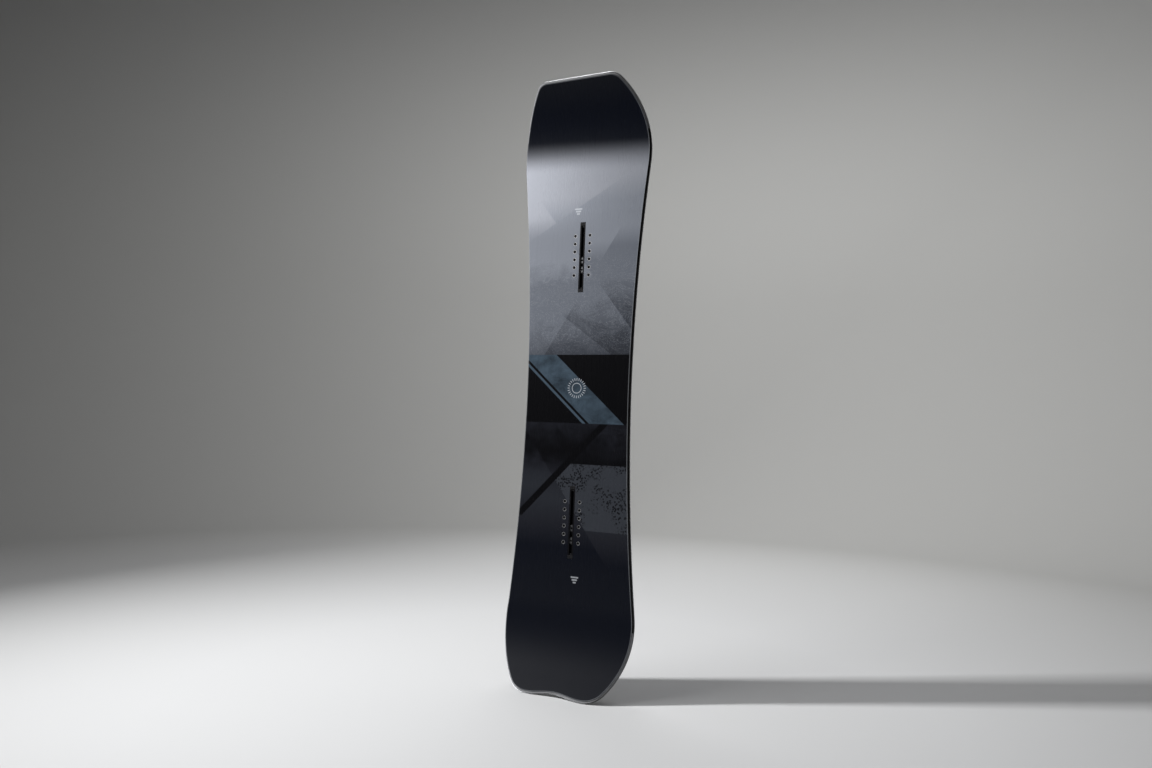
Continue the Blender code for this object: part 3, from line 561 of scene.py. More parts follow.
# %% [markdown]
# ## The other finishes
# Each of the remaining pieces has one finish: ground steel with scratches along the strip,
# sintered base with a stone-ground structure, woven glass, milled black sidewall, grained
# wood, anodised aluminium, moulded nylon and turned stainless steel. The scale of each
# pattern is the real one, in metres.


# %% Steel, base and laminate
def make_edge_steel():
    finish = Finish("edge_steel")
    _, s, uv = finish.layout()
    scratches = finish.noise(finish.stretched(uv, (900.0, 12.0, 1.0)), 3.0, 3.0)
    cloud = finish.noise(uv, 14.0, 3.0)
    colour = finish.ramp(cloud, ((0.3, (0.42, 0.43, 0.45)), (0.7, (0.54, 0.55, 0.57))))
    # Painted shade: the steel is coloured darker towards the tail to dim its reflection there.
    tail_painted_shade = 1 - s.above(0.12, 0.16)
    colour = finish.mix(tail_painted_shade * 0.65, colour, (0.09, 0.09, 0.095))
    return finish.surface(
        Base_Color=colour,
        Metallic=1.0,
        Roughness=scratches * 0.14 + 0.30,
        Normal=finish.bump(scratches, 0.00003, 0.35),
    )


def make_base():
    finish = Finish("sintered_base")
    x, s, uv = finish.layout()
    grooves = ((x + s * 0.10) * 5500.0).math("SINE") * 0.5 + 0.5
    cross = ((x - s * 0.10) * 4700.0).math("SINE") * 0.5 + 0.5
    grains = finish.noise(uv, 700.0, 3.0)
    colour = finish.ramp(grains, ((0.35, (0.010, 0.010, 0.012)), (0.75, (0.024, 0.024, 0.028))))
    return finish.surface(
        Base_Color=colour,
        Roughness=grains * 0.15 + 0.30,
        Normal=finish.bump(grooves + cross * 0.6, 0.000012, 0.6),
    )


def make_weave(name, tint):
    finish = Finish(name)
    x, s, _ = finish.layout()
    over = ((x + s) * 2400.0).math("SINE")
    under = ((x - s) * 2400.0).math("SINE")
    weave = over * under * 0.5 + 0.5
    dark = tuple(value * 0.7 for value in tint)
    return finish.surface(
        Base_Color=finish.mix(weave, dark, tint),
        Roughness=0.38,
        Normal=finish.bump(weave, 0.00005, 0.4),
    )


# %% Sidewall, tips, rubber and wood
def make_milled(name, colour, roughness, specular=0.5):
    """Milled plastic: fine cutter lines run along the side."""
    finish = Finish(name)
    _, _, uv = finish.layout()
    lines = finish.noise(finish.stretched(uv, (2600.0, 30.0, 1.0)), 1.0, 2.0)
    cloud = finish.noise(uv, 40.0, 3.0)
    light = tuple(value * 1.35 for value in colour)
    return finish.surface(
        Base_Color=finish.mix(cloud, colour, light),
        Roughness=lines * 0.12 + roughness,
        Specular_IOR_Level=specular,
        Normal=finish.bump(lines, 0.00003, 0.3),
    )


def make_wood(name, light, dark):
    """Grain runs along the board, which is world Z, in strips about 12 mm wide."""
    finish = Finish(name)
    place = finish.place()
    grain = finish.noise(finish.stretched(place, (160.0, 160.0, 3.0)), 1.0, 6.0, 0.6, 0.8)
    strips = finish.noise(finish.stretched(place, (80.0, 0.1, 0.1)), 1.0, 0.0)
    colour = finish.mix((grain * 0.7 + strips * 0.5).clamp(), dark, light)
    return finish.surface(
        Base_Color=colour,
        Roughness=grain * 0.2 + 0.45,
        Normal=finish.bump(grain, 0.0001, 0.4),
    )


# %% Metal and moulded parts
def make_turned(name, colour, roughness, metallic=1.0, grain=2500.0, specular=0.5):
    """A machined or moulded finish with fine grain in its gloss."""
    finish = Finish(name)
    place = finish.place()
    fine = finish.noise(place, grain, 2.0)
    cloud = finish.noise(place, 180.0, 2.0)
    worn = tuple(min(value * 1.3, 1.0) for value in colour)
    return finish.surface(
        Base_Color=finish.mix(cloud, colour, worn),
        Metallic=metallic,
        Roughness=fine * 0.12 + roughness,
        Specular_IOR_Level=specular,
        Normal=finish.bump(fine, 0.00002, 0.3),
    )


def make_insert_steel_with_painted_bore_shade(pack, rows):
    """Turned steel round each bore, and painted shade in the bore: its colour is near black."""
    finish = Finish("turned_insert_steel_painted_bore_shade_" + pack)
    x, s, uv = finish.layout()
    across = x.absolute() - COLUMN * MM
    above_zero = s - rows + 10 * ROW_PITCH * MM
    along = above_zero.repeat(ROW_PITCH * MM)
    reach = (across * across + along * along).math("SQRT")
    lathe = (reach * 24000.0).math("SINE") * 0.5 + 0.5
    rim = reach.above(0.0039, 0.0002)
    return finish.surface(
        # Painted shade: the bore inside the steel ring is coloured near black, not steel.
        Base_Color=finish.mix(rim, (0.003, 0.003, 0.004), (0.32, 0.32, 0.33)),
        Metallic=rim,
        Roughness=lathe * 0.06 + 0.45,
        Normal=finish.bump(lathe, 0.00001, 0.3),
    )


EDGE_STEEL = make_edge_steel()
BASE = make_base()
UPPER_GLASS = make_weave("upper_glass_weave", (0.10, 0.105, 0.10))
LOWER_GLASS = make_weave("lower_glass_weave", (0.16, 0.17, 0.14))
SIDEWALL = make_milled("sidewall_abs", (0.004, 0.004, 0.005), 0.34, 0.15)
TIP_FILLER = make_milled("tip_filler_abs", (0.20, 0.20, 0.21), 0.30)
FOIL = make_milled("rubber_foil", (0.012, 0.012, 0.012), 0.6)
POPLAR = make_wood("poplar_strips", (0.74, 0.57, 0.38), (0.52, 0.36, 0.20))
ASH = make_wood("ash_stringer", (0.64, 0.49, 0.33), (0.42, 0.29, 0.17))
ANODISED = make_turned("black_anodised", (0.003, 0.003, 0.004), 0.45, 0.0, 1800.0, 0.05)
NYLON = make_turned("moulded_nylon", (0.009, 0.009, 0.010), 0.50, 0.0, 1500.0, 0.08)
CRADLE_NYLON = make_turned("cradle_nylon", (0.008, 0.008, 0.009), 0.45, 0.0, 1500.0, 0.20)
ZINC = make_turned("dark_zinc_plate", (0.085, 0.086, 0.090), 0.34, 1.0, 3000.0)
INSERT_STEEL = {
    "front": make_insert_steel_with_painted_bore_shade("front", FRONT_PACK),
    "rear": make_insert_steel_with_painted_bore_shade("rear", REAR_PACK),
}
print("finishes:", len(bpy.data.materials))

# %% [markdown]
# ## From rings to solids
# A sheet of the board is a stack of rings, each the outline drawn in by its own amount at
# its own height, with a cap at either end. That gives chamfers and the slant of the
# sidewall for free. Holes are cut while everything is still flat, which keeps them round.


# %% Solid tools
def mesh_from(bm, name):
    bmesh.ops.remove_doubles(bm, verts=bm.verts, dist=1e-7)
    bmesh.ops.recalc_face_normals(bm, faces=bm.faces)
    mesh = bpy.data.meshes.new(name)
    bm.to_mesh(mesh)
    bm.free()
    return mesh


def skin(name, rings):
    """Closed solid through equal rings of points."""
    bm = bmesh.new()
    rows = [[bm.verts.new(point) for point in ring] for ring in rings]
    for one, two in zip(rows, rows[1:]):
        for i in range(len(one)):
            j = (i + 1) % len(one)
            bm.faces.new((one[i], one[j], two[j], two[i]))
    bm.faces.new(rows[0])
    bm.faces.new(rows[-1])
    return mesh_from(bm, name)


def skin_mm(name, rings):
    """The same from points in mm."""
    return skin(name, [[(x * MM, s * MM, n * MM) for x, s, n in ring] for ring in rings])


def full_round(name, section):
    """A sheet with the board's outline; section is (inset, height) in mm, bottom to top."""
    rings = []
    for inset, height in section:
        rings.append([(x, s, height * MM) for x, s in outline(inset * MM)])
    return skin(name, rings)


def side_strip(name, section, path, hand):
    """A strip along one side, with a closed section of (inset, height) in mm."""
    rings = []
    for x, s, nx, ns in path:
        ring = []
        for inset, height in section:
            ring.append((hand * (x - inset * MM * nx), s - inset * MM * ns, height * MM))
        rings.append(ring)
    return skin(name, rings)


def block(x_half, s_range, n_range):
    """A block in mm, centred across the board."""
    ranges = ((-x_half, x_half), sorted(s_range), n_range)
    bm = bmesh.new()
    bmesh.ops.create_cube(bm, size=1.0)
    for vert in bm.verts:
        for axis, (low, high) in enumerate(ranges):
            vert.co[axis] = (low + (vert.co[axis] + 0.5) * (high - low)) * MM
    return mesh_from(bm, "block")


def path_through(points, closed=False):
    """Edges alone, from point to point."""
    bm = bmesh.new()
    verts = [bm.verts.new(point) for point in points]
    for one, two in zip(verts, verts[1:] + verts[:closed]):
        bm.edges.new((one, two))
    return bm


def spun(profile, sides, closed=False):
    """A (radius, height) profile spun round the upright axis."""
    bm = path_through([(radius, 0.0, height) for radius, height in profile], closed)
    bmesh.ops.spin(
        bm, geom=bm.edges[:], cent=(0, 0, 0), axis=(0, 0, 1), angle=2 * math.pi,
        steps=sides, use_merge=True,
    )
    return bm


# %% Object tools
def add_object(name, mesh):
    made = bpy.data.objects.new(name, mesh)
    bpy.context.scene.collection.objects.link(made)
    return made


def take_mesh(made):
    """The object's mesh with its modifiers applied; the object goes."""
    bpy.context.view_layer.update()
    graph = bpy.context.evaluated_depsgraph_get()
    mesh = bpy.data.meshes.new_from_object(made.evaluated_get(graph))
    bpy.data.objects.remove(made, do_unlink=True)
    return mesh


def combine(mesh, other, operation):
    worked = add_object("worked", mesh)
    tool = add_object("tool", other)
    boolean = worked.modifiers.new("cut", "BOOLEAN")
    boolean.operation = operation
    boolean.solver = "EXACT"
    boolean.object = tool
    result = take_mesh(worked)
    bpy.data.objects.remove(tool, do_unlink=True)
    return result


def bevelled(mesh, width, segments=2, degrees=40.0):
    """Round the sharp edges of a small part."""
    made = add_object("bevelled", mesh)
    bevel = made.modifiers.new("edges", "BEVEL")
    bevel.width = width * MM
    bevel.segments = segments
    bevel.limit_method = "ANGLE"
    bevel.angle_limit = math.radians(degrees)
    bevel.use_clamp_overlap = True
    return take_mesh(made)


def dress(name, mesh, material, body, slot, *nodes, smooth=20.0):
    """Turn a finished mesh into a piece that stands for its CAD nodes."""
    mesh.materials.clear()
    mesh.materials.append(material)
    mesh.polygons.foreach_set("use_smooth", [True] * len(mesh.polygons))
    mesh.set_sharp_from_angle(angle=math.radians(smooth))
    piece = add_object(name, mesh)
    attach(piece, body)
    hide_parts(*nodes)
    print(name, "faces:", len(mesh.polygons))


# %% [markdown]
# ## Holes for inserts and channels
# Both skins above the core are pierced in one go: round holes for the insert barrels and a
# long slot for each rail. A turned cutter with many sides keeps the holes round.

# %% Cutters for the upper skins
INSERT_ROWS = [(row - (ROWS - 1) / 2) * ROW_PITCH for row in range(ROWS)]
PACKS = {"front": FRONT_PACK, "rear": REAR_PACK}
RAILS = {"front": FRONT_PACK / MM - 4.4, "rear": REAR_PACK / MM}
RAIL_HALF = 80.0
PLUG = 8.0
GAP = 0.3
HOLE_SIDES = 40
HOLE_RADIUS = 4.8
SLOT_HALF = 7.3
THROUGH_SKINS = (8.0, 12.0)


def cylinder(radius, low, high, sides=HOLE_SIDES):
    """A plain cylinder in mm, for cutting."""
    bm = bmesh.new()
    bmesh.ops.create_cone(
        bm, cap_ends=True, segments=sides, radius1=radius * MM, radius2=radius * MM,
        depth=(high - low) * MM,
    )
    bmesh.ops.translate(bm, verts=bm.verts, vec=(0, 0, (low + high) / 2 * MM))
    return mesh_from(bm, "cylinder")


def skin_cutter():
    bm = bmesh.new()
    hole = cylinder(HOLE_RADIUS, *THROUGH_SKINS)
    for pack in PACKS.values():
        for hand in (-1, 1):
            for row in INSERT_ROWS:
                copy = hole.copy()
                copy.transform(Matrix.Translation((hand * COLUMN * MM, pack + row * MM, 0)))
                bm.from_mesh(copy)
    reach = RAIL_HALF + PLUG + 2 * GAP
    for centre in RAILS.values():
        bm.from_mesh(block(SLOT_HALF, (centre - reach, centre + reach), THROUGH_SKINS))
    return mesh_from(bm, "skin_cutter")


# %% Sheets: topsheet, laminates and base
# The attribute named rim is 1 on every ring of the topsheet but the innermost one. The
# print paints it pale, as a painted highlight along the rim's bevel.
TOPSHEET_SECTION = (
    (4.0, 9.6), (4.0, 10.02), (4.06, 10.14), (4.20, 10.2), (5.5, 10.2), (5.7, 10.2),
)
topsheet = full_round("topsheet", TOPSHEET_SECTION)
ring_size = len(outline(0.0))
marks = [1.0] * (len(topsheet.vertices) - ring_size) + [0.0] * ring_size
topsheet.attributes.new("rim", "FLOAT", "POINT").data.foreach_set("value", marks)
topsheet = press(combine(topsheet, skin_cutter(), "DIFFERENCE"))
dress("topsheet_skin", topsheet, TOPSHEET_PRINT, "board", "topsheet_print", "topsheet")

upper = combine(full_round("upper", ((3.6, 8.7), (3.6, 9.3))), skin_cutter(), "DIFFERENCE")
dress("upper_laminate", press(upper), UPPER_GLASS, "board", "laminate", "upper_fibreglass")

LOWER_SECTION = ((10.7, 1.5), (8.9, 2.9), (1.0, 2.9), (1.0, 3.5), (9.2, 3.5), (11.0, 2.1))
lower = full_round("lower", LOWER_SECTION)
dress("lower_laminate", press(lower), LOWER_GLASS, "board", "laminate", "lower_fibreglass")

base = full_round("base", ((2.38, 0.0), (2.3, 0.08), (2.3, 1.2)))
dress("running_base", press(base), BASE, "board", "base_ptex", "base_sheet")

# %% [markdown]
# ## Steel edges
# The edge is one hard strip that runs all the way round each side, with a thin flange and a
# comb of teeth that reach into the board. A Geometry Nodes tree suits it: the outline
# becomes a curve, two small profiles run along it, and teeth are set on it at an even
# pitch. It is grown flat and then pressed, so the profiles never have to twist.


# %% A helper for node trees
class Growth:
    """A Geometry Nodes tree with named inputs, built one node at a time."""

    def __init__(self, name):
        self.tree = bpy.data.node_groups.new(name, "GeometryNodeTree")
        for way in ("INPUT", "OUTPUT"):
            self.tree.interface.new_socket(
                "Geometry", in_out=way, socket_type="NodeSocketGeometry"
            )
        self.entry = self.tree.nodes.new("NodeGroupInput")
        self.exit = self.tree.nodes.new("NodeGroupOutput")
        self.named = {}

    def size(self, name, value, kind="NodeSocketFloat"):
        socket = self.tree.interface.new_socket(name, in_out="INPUT", socket_type=kind)
        self.named[name] = (socket.identifier, value)
        return self.entry.outputs[name]

    def node(self, kind, settings=None, inputs=None):
        made = self.tree.nodes.new(kind)
        for key, value in (settings or {}).items():
            setattr(made, key, value)
        for key, value in (inputs or {}).items():
            if isinstance(value, bpy.types.NodeSocket):
                self.tree.links.new(value, made.inputs[key])
            else:
                made.inputs[key].default_value = value
        return made.outputs[0]

    def join(self, *shapes):
        made = self.tree.nodes.new("GeometryNodeJoinGeometry")
        for shape in reversed(shapes):
            self.tree.links.new(shape, made.inputs[0])
        return made.outputs[0]

    def grow(self, shape, mesh, material):
        """End the tree, run it once on the mesh and return the plain result."""
        shape = self.node("GeometryNodeRealizeInstances", inputs={"Geometry": shape})
        inputs = {"Geometry": shape, "Material": material}
        shape = self.node("GeometryNodeSetMaterial", inputs=inputs)
        self.tree.links.new(shape, self.exit.inputs[0])
        made = add_object("grown", mesh)
        modifier = made.modifiers.new("growth", "NODES")
        modifier.node_group = self.tree
        for identifier, value in self.named.values():
            modifier[identifier] = value
        return take_mesh(made)


# %% The edge tree
def edge_profile(growth, width, height, inset, lift, round_off):
    """A rounded rectangle inside the outline; a curve's own axes point outwards and down."""
    inputs = {"Width": width, "Height": height}
    profile = growth.node("GeometryNodeCurvePrimitiveQuadrilateral", inputs=inputs)
    inputs = {"Curve": profile, "Radius": round_off, "Count": 2}
    profile = growth.node("GeometryNodeFilletCurve", {"mode": "POLY"}, inputs)
    inputs = {"Geometry": profile, "Translation": (-inset, -lift, 0.0)}
    return growth.node("GeometryNodeTransform", inputs=inputs)


def grow_edge(path):
    growth = Growth("toothed_edge")
    width = growth.size("Rail width", 2.0 * MM)
    pitch = growth.size("Tooth pitch", 40.0 * MM)
    length = growth.size("Tooth length", 20.0 * MM)
    reach = growth.size("Tooth reach", 5.1 * MM)
    curve = growth.node("GeometryNodeMeshToCurve", inputs={"Mesh": growth.entry.outputs[0]})
    curve = growth.node("GeometryNodeSetCurveNormal", {"mode": "Z_UP"}, {"Curve": curve})
    rail = edge_profile(
        growth, width, height=2.0 * MM, inset=1.0 * MM, lift=1.0 * MM, round_off=0.12 * MM
    )
    flange = edge_profile(
        growth, 1.9 * MM, height=0.5 * MM, inset=2.85 * MM, lift=1.75 * MM, round_off=0.05 * MM
    )
    sweeps = []
    for profile in (rail, flange):
        inputs = {"Curve": curve, "Profile Curve": profile, "Fill Caps": True}
        sweeps.append(growth.node("GeometryNodeCurveToMesh", inputs=inputs))
    inputs = {"Curve": curve, "Length": pitch}
    spots = growth.node("GeometryNodeResampleCurve", {"mode": "LENGTH"}, inputs)
    points = growth.node("GeometryNodeCurveToPoints", {"mode": "EVALUATED"}, {"Curve": spots})
    inputs = {"X": reach, "Y": 0.4 * MM, "Z": length}
    across = growth.node("ShaderNodeCombineXYZ", inputs=inputs)
    tooth = growth.node("GeometryNodeMeshCube", inputs={"Size": across})
    inputs = {"Geometry": tooth, "Translation": (-5.45 * MM, -1.75 * MM, 0.0)}
    tooth = growth.node("GeometryNodeTransform", inputs=inputs)
    inputs = {"Points": points, "Instance": tooth, "Rotation": points.node.outputs["Rotation"]}
    teeth = growth.node("GeometryNodeInstanceOnPoints", inputs=inputs)
    wire = mesh_from(path_through(path), "edge_path")
    return growth.grow(growth.join(*sweeps, teeth), wire, EDGE_STEEL)


# %% Grow, mirror and press both edges; the two sides meet GAP apart on the centre line
APART_SIDE = [(max(x, GAP / 2 * MM), s, nx, ns) for x, s, nx, ns in RIGHT_SIDE]
right_edge = grow_edge([(x, s, 0.0) for x, s, _, _ in APART_SIDE])
print("right edge before pressing, faces:", len(right_edge.polygons))


def mirrored(mesh):
    """A left-hand copy of a right-hand mesh, with its faces turned outwards again."""
    copy = mesh.copy()
    copy.transform(Matrix.Diagonal((-1, 1, 1, 1)))
    copy.flip_normals()
    return copy


for side, mesh in (("left", mirrored(right_edge)), ("right", right_edge)):
    edge = press(mesh, sliced=False)
    dress("ground_edge_" + side, edge, EDGE_STEEL, "board", "edge_steel", "steel_edge_" + side)

FOIL_SECTION = ((1.0, 2.3), (1.0, 2.6), (8.0, 2.6), (8.0, 2.3))
foil = side_strip("foil", FOIL_SECTION, APART_SIDE, 1)
for side, mesh in (("left", mirrored(foil)), ("right", foil)):
    dress("damping_foil_" + side, press(mesh), FOIL, "board", "foil_rubber", "rubber_foil_" + side)

# %% [markdown]
# ## Sidewalls and tip fillers
# Between the laminates the board's side is slanted plastic: black along the running length
# and grey round the nose and tail, where a filler takes the core's place. The filler is a
# full round of the same section with the rounded end of the core cut out of it.

# %% Sidewalls
TIP_FROM = {"nose": SURFACE_LENGTH / MM - 146.0, "tail": 176.0}
WIDE = 300.0
THROUGH_BOARD = (-10.0, 20.0)
CORE_INSET = 11.0
SIDE_SECTION = (
    (1.0, 3.8), (1.0, 3.95), (3.28, 8.25), (3.45, 8.4),
    (CORE_INSET, 8.4), (CORE_INSET, 2.9), (9.6, 3.8),
)
for side, hand in (("left", -1), ("right", 1)):
    strip = side_strip("sidewall", SIDE_SECTION, RIGHT_SIDE[1:-1], hand)
    run = block(WIDE, (TIP_FROM["tail"] + GAP, TIP_FROM["nose"] - GAP), THROUGH_BOARD)
    strip = press(combine(strip, run, "INTERSECT"))
    dress("milled_sidewall_" + side, strip, SIDEWALL, "board", "sidewall_abs", "sidewall_" + side)


# %% Tip fillers
def core_end(start, apex, toward, steps=48):
    """The rounded end of the core with its clearance, as a flat outline."""
    inset = CORE_INSET * MM
    side = [(x - inset * nx, s - inset * ns) for x, s, nx, ns in RIGHT_SIDE]
    half = next(
        x0 + (x1 - x0) * (start - s0) / (s1 - s0)
        for (x0, s0), (x1, s1) in zip(side, side[1:]) if s0 <= start <= s1 and s1 > s0
    )
    rise = abs(apex - start) + GAP * MM
    radius = (half * half + rise * rise) / (2 * rise)
    sweep = 2 * math.atan2(rise, half)
    arc = []
    for step in range(steps + 1):
        angle = sweep * step / steps
        rest = rise - radius * (1 - math.cos(angle))
        arc.append((radius * math.sin(angle), start + toward * rest))
    beyond = start - toward * 0.1
    arc.append((half, beyond))
    return arc + [(-x, s) for x, s in reversed(arc[1:])]


FILLER_SECTION = (
    (CORE_INSET, 2.9), (9.6, 3.8), (1.0, 3.8), (1.0, 3.95), (3.28, 8.25), (3.45, 8.4),
)
CORE_PAST_JOINT = 6.0
CORE_APEX = {"nose": SURFACE_LENGTH / MM - 58.0, "tail": 66.0}
PAST_TIP = {"nose": 1600.0, "tail": -20.0}
for tip, toward in (("nose", 1), ("tail", -1)):
    filler = full_round("filler", FILLER_SECTION)
    start = TIP_FROM[tip] + toward * CORE_PAST_JOINT
    core = core_end(start * MM, CORE_APEX[tip] * MM, toward)
    core = skin("core_end", [[(x, s, n * MM) for x, s in core] for n in THROUGH_BOARD])
    filler = combine(filler, core, "DIFFERENCE")
    keep = block(WIDE, (TIP_FROM[tip], PAST_TIP[tip]), THROUGH_BOARD)
    filler = press(combine(filler, keep, "INTERSECT"))
    dress(tip + "_filler", filler, TIP_FILLER, "board", "spacer_abs", tip + "_spacer")

# %% [markdown]
# ## Core
# The core never shows on a finished board, so its CAD solids stay as they are and only get
# their wood: pale poplar beside the channels and darker ash down the middle.

# %% Wood for the core
for name, finish in (
    ("core_strips_left", POPLAR),
    ("core_strips_right", POPLAR),
    ("core_stringer_nose", ASH),
    ("core_stringer_waist", ASH),
    ("core_stringer_tail", ASH),
):
    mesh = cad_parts[name].data
    mesh.materials.clear()
    mesh.materials.append(finish)
print("core nodes keep their own solids")


# %% [markdown]
# ## Channels and plugs
# Each rail is an extrusion, so it is a section run along the board, with its sharp edges
# taken off as a real die and tumbler would. The nylon plugs close its ends.

# %% Rails
def make_rail(centre):
    """The rail's section, from its foot over the lips to its inner walls, run along it."""
    right = (
        (10.0, 2.4), (10.0, 3.6), (7.0, 3.6), (7.0, 8.5), (7.22, 8.72),
        (7.22, 10.0), (3.5, 10.0), (3.5, 8.4), (5.8, 8.4), (5.8, 3.6),
    )
    section = list(right) + [(-x, n) for x, n in reversed(right)]
    ends = (centre - RAIL_HALF, centre + RAIL_HALF)
    return bevelled(skin_mm("rail", [[(x, s, n) for x, n in section] for s in ends]), 0.18)


def make_plug(rail_centre, toward):
    """A head that fills the end of the slot, a tongue inside the rail, and a milled slit."""
    seat = rail_centre + toward * (RAIL_HALF + GAP)
    middle = seat + toward * PLUG / 2
    head = block(7.0, (seat, seat + toward * PLUG), (3.9, 10.0))
    tongue = block(5.5, (seat - toward * (4.0 + GAP), middle), (3.9, 8.1))
    slit = block(2.2, (middle - 0.6, middle + 0.6), (9.2, 11.0))
    plug = combine(head, tongue, "UNION")
    return bevelled(combine(plug, slit, "DIFFERENCE"), 0.25)


for pack, centre in RAILS.items():
    rail = press(make_rail(centre), sliced=False)
    dress(pack + "_rail", rail, ANODISED, "board", "channel_black", pack + "_channel")
    ends = (("nose", 1), ("waist", -1)) if pack == "front" else (("waist", 1), ("tail", -1))
    for end, toward in ends:
        name = f"{pack}_channel_{end}_plug"
        plug = press(make_plug(centre, toward), sliced=False)
        dress("nylon_" + name, plug, NYLON, "board", "plug_nylon", name)


# %% [markdown]
# ## Nuts, cradles and inserts
# All of them are threaded M6. A thread reads as fine rings from outside, so each bore is cut
# by a turned cutter with a zigzag side. The nuts and cradles ride on bodies of their own,
# because they slide in the rails; the inserts are fixed in the board.

# %% Turned shapes and threads
def turned(name, profile):
    """A solid turned from a closed (radius, height) profile in mm."""
    profile = [(radius * MM, height * MM) for radius, height in profile]
    return mesh_from(spun(profile, HOLE_SIDES, closed=True), name)


def thread_side(low, high, inner=2.5, depth=0.35, pitch=1.0):
    """Zigzag corners of an M6 thread between two heights, in mm."""
    corners = [(inner, low)]
    turns = int((high - low - 0.4) / pitch)
    start = (low + high - turns * pitch) / 2
    for turn in range(turns):
        corners.append((inner, start + turn * pitch))
        corners.append((inner + depth, start + (turn + 0.5) * pitch))
    corners += [(inner, start + turns * pitch), (inner, high)]
    return corners


# %% Nuts and cradles
def make_nut():
    """A block with cut corners and a threaded bore."""
    wide, long, cut = 5.5, 6.5, 1.5
    corners = [(wide - cut, long), (wide, long - cut)]
    corners += [(x, -y) for x, y in reversed(corners)]
    corners += [(-x, y) for x, y in reversed(corners)]
    nut = skin_mm("nut", [[(x, y, n) for x, y in corners] for n in (4.5, 8.1)])
    rings = []
    for radius, height in [(2.5, 4.0)] + thread_side(4.5, 8.1)[1:-1] + [(2.5, 8.6)]:
        turns = [2 * math.pi * i / HOLE_SIDES for i in range(HOLE_SIDES)]
        rings.append([(radius * math.cos(t), radius * math.sin(t), height) for t in turns])
    return combine(bevelled(nut, 0.22), skin_mm("thread", rings), "DIFFERENCE")


def make_cradle():
    """A low tray with a wall at either end of the nut."""
    long, inner = 9.0, 6.8
    section = [(long, 3.9), (long, 7.7), (inner, 7.7), (inner, 4.2)]
    section += [(-s, n) for s, n in reversed(section)]
    rings = [[(x, s, n) for s, n in section] for x in (-5.5, 5.5)]
    return bevelled(skin_mm("cradle", rings), 0.15)


NUT_OFFSETS = {"front": (-12.0, -36.0), "rear": (-15.0, -45.0)}
for pack, offsets in NUT_OFFSETS.items():
    for which, offset in zip(("upper", "lower"), offsets):
        body = f"{pack}_{which}_nut"
        shift = Matrix.Translation((0, PACKS[pack] + offset * MM, 0))
        for piece, mesh, finish, slot, node in (
            ("threaded_nut", make_nut(), ZINC, "nut_steel", f"{pack}_channel_nut_{which}"),
            ("nut_tray", make_cradle(), CRADLE_NYLON, "cradle_nylon", f"{pack}_nut_cradle_{which}"),
        ):
            mesh.transform(shift)
            dress(f"{piece}_{pack}_{which}", press(mesh, sliced=False), finish, body, slot, node)


# %% Inserts, repeated by a tree
def insert_shape():
    """A threaded barrel with a collar at the top and a flange at the foot."""
    profile = [(4.5, 8.6), (4.72, 8.8), (4.72, 9.75), (4.57, 9.9), (3.4, 9.9), (2.5, 9.2)]
    profile += list(reversed(thread_side(2.6, 9.1)))[1:-1]
    profile += [(2.5, 2.4), (8.05, 2.4), (8.2, 2.55), (8.2, 3.25), (8.05, 3.4), (4.5, 3.4)]
    return turned("insert", profile)


def grow_inserts(centre, finish):
    growth = Growth("insert_pattern")
    columns = growth.size("Column spacing", 2 * COLUMN * MM)
    length = growth.size("Pattern length", (ROWS - 1) * ROW_PITCH * MM)
    rows = growth.size("Rows", ROWS, "NodeSocketInt")
    inputs = {"Size X": columns, "Size Y": length, "Vertices X": 2, "Vertices Y": rows}
    points = growth.node("GeometryNodeMeshGrid", inputs=inputs)
    inputs = {"Points": points, "Instance": growth.entry.outputs[0]}
    inserts = growth.node("GeometryNodeInstanceOnPoints", inputs=inputs)
    place = {"Geometry": inserts, "Translation": (0.0, centre, 0.0)}
    inserts = growth.node("GeometryNodeTransform", inputs=place)
    return growth.grow(inserts, insert_shape(), finish)


for pack, centre in PACKS.items():
    sides = ("left", "right")
    names = [f"insert_{pack}_{side}_{row + 1}" for side in sides for row in range(ROWS)]
    finish = INSERT_STEEL[pack]
    inserts = press(grow_inserts(centre, finish), sliced=False)
    dress(pack + "_inserts", inserts, finish, "board", "insert_steel", *names)

# %% [markdown]
# ## Studio
# The set is one turned sweep, floor and wall in one skin, so that every view has a plain
# backdrop. A large soft box in front on the left is what the gloss of the upper half
# mirrors. A small key from the left, kept to a narrow spread, throws the long shadow. A
# strip overhead picks out the steel round the nose, and a wide box lights the backdrop.

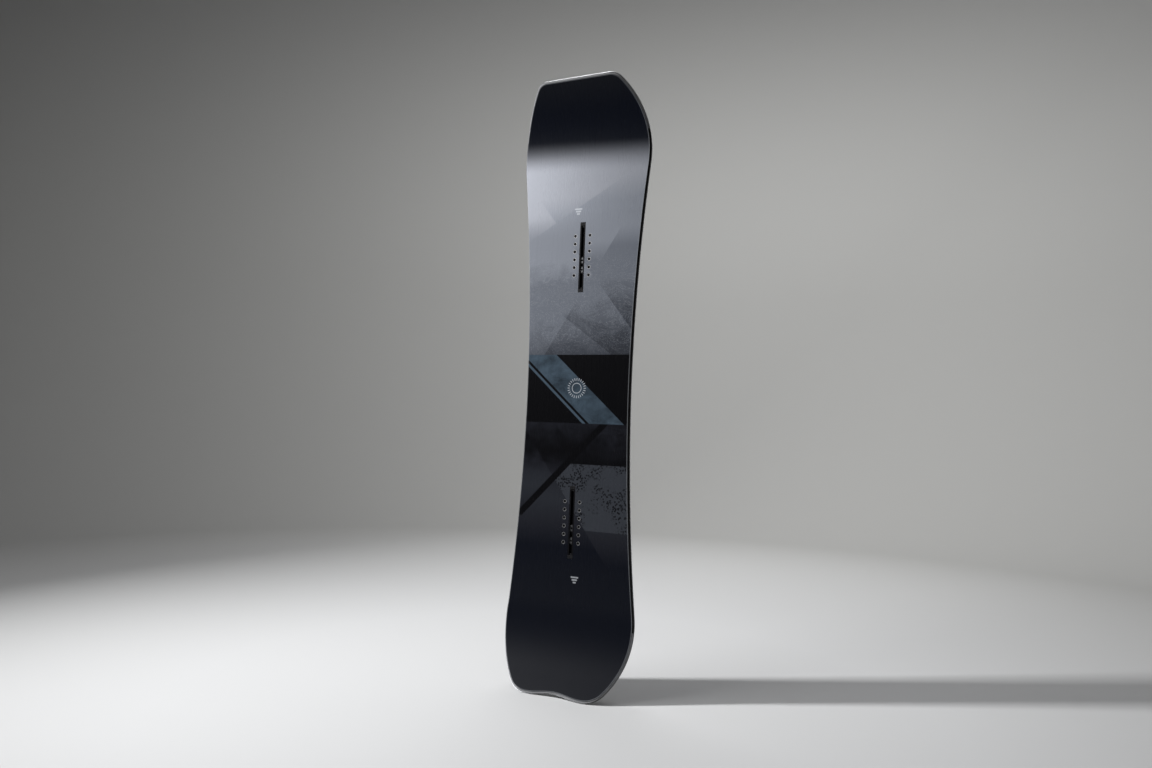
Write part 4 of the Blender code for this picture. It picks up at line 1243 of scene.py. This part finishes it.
# %% Sweep
def make_sweep(curve_steps=24, sides=96):
    """A flat floor that curves up into a round wall."""
    flat, curve, top = 3.2, 1.8, 5.5
    profile = [(0.0, 0.0), (1.2, 0.0), (flat, 0.0)]
    for step in range(1, curve_steps + 1):
        turn = math.pi / 2 * step / curve_steps
        profile.append((flat + curve * math.sin(turn), curve * (1 - math.cos(turn))))
    profile.append((flat + curve, top))
    bm = spun(profile, sides)
    bmesh.ops.remove_doubles(bm, verts=bm.verts, dist=1e-5)
    mesh = bpy.data.meshes.new("studio_sweep")
    bm.to_mesh(mesh)
    bm.free()
    mesh.polygons.foreach_set("use_smooth", [True] * len(mesh.polygons))
    return mesh


def make_sweep_paint():
    """Pale near the board and darker towards the wall."""
    finish = Finish("sweep_paint")
    x, y = finish.parts(finish.place())
    reach = (x * x + y * y).math("SQRT")
    shade = finish.mix(reach.above(2.1, 2.4), (0.68, 0.685, 0.69), (0.44, 0.44, 0.43))
    return finish.surface(Base_Color=shade, Roughness=0.9, Specular_IOR_Level=0.1)


sweep = add_object("studio_sweep", make_sweep())
sweep.data.materials.append(make_sweep_paint())


# %% Lamps
def soft_box(name, place, aim, size, power, spread=180.0):
    lamp = bpy.data.lights.new(name, "AREA")
    lamp.shape = "RECTANGLE"
    lamp.size, lamp.size_y = size
    lamp.energy = power
    lamp.spread = math.radians(spread)
    made = bpy.data.objects.new(name, lamp)
    bpy.context.scene.collection.objects.link(made)
    turn = (Vector(place) - Vector(aim)).to_track_quat("Z", "Y").to_matrix().to_4x4()
    made.matrix_world = Matrix.Translation(place) @ turn
    made.visible_camera = False


soft_box("front_left_box", (-1.70, -1.92, 2.25), (0.0, 0.0, 1.1), (1.3, 1.1), 26.0)
soft_box("key", (-2.55, -1.53, 2.4), (0.0, 0.0, 0.75), (0.22, 0.22), 38.0, 85.0)
soft_box("rim", (-0.5, 0.6, 2.75), (0.0, 0.0, 1.4), (0.8, 0.5), 10.0)
soft_box("backdrop_box", (-0.1, 2.0, 3.0), (-0.7, 4.9, 0.8), (2.6, 0.8), 84.0)
world = bpy.data.worlds.new("studio_world")
world.use_nodes = True
background = world.node_tree.nodes["Background"]
background.inputs["Color"].default_value = (0.10, 0.10, 0.11, 1.0)
background.inputs["Strength"].default_value = 1.0
bpy.context.scene.world = world
print("lamps:", [light.name for light in bpy.data.lights])

# %% Standard view transform
bpy.context.scene.view_settings.view_transform = "Standard"
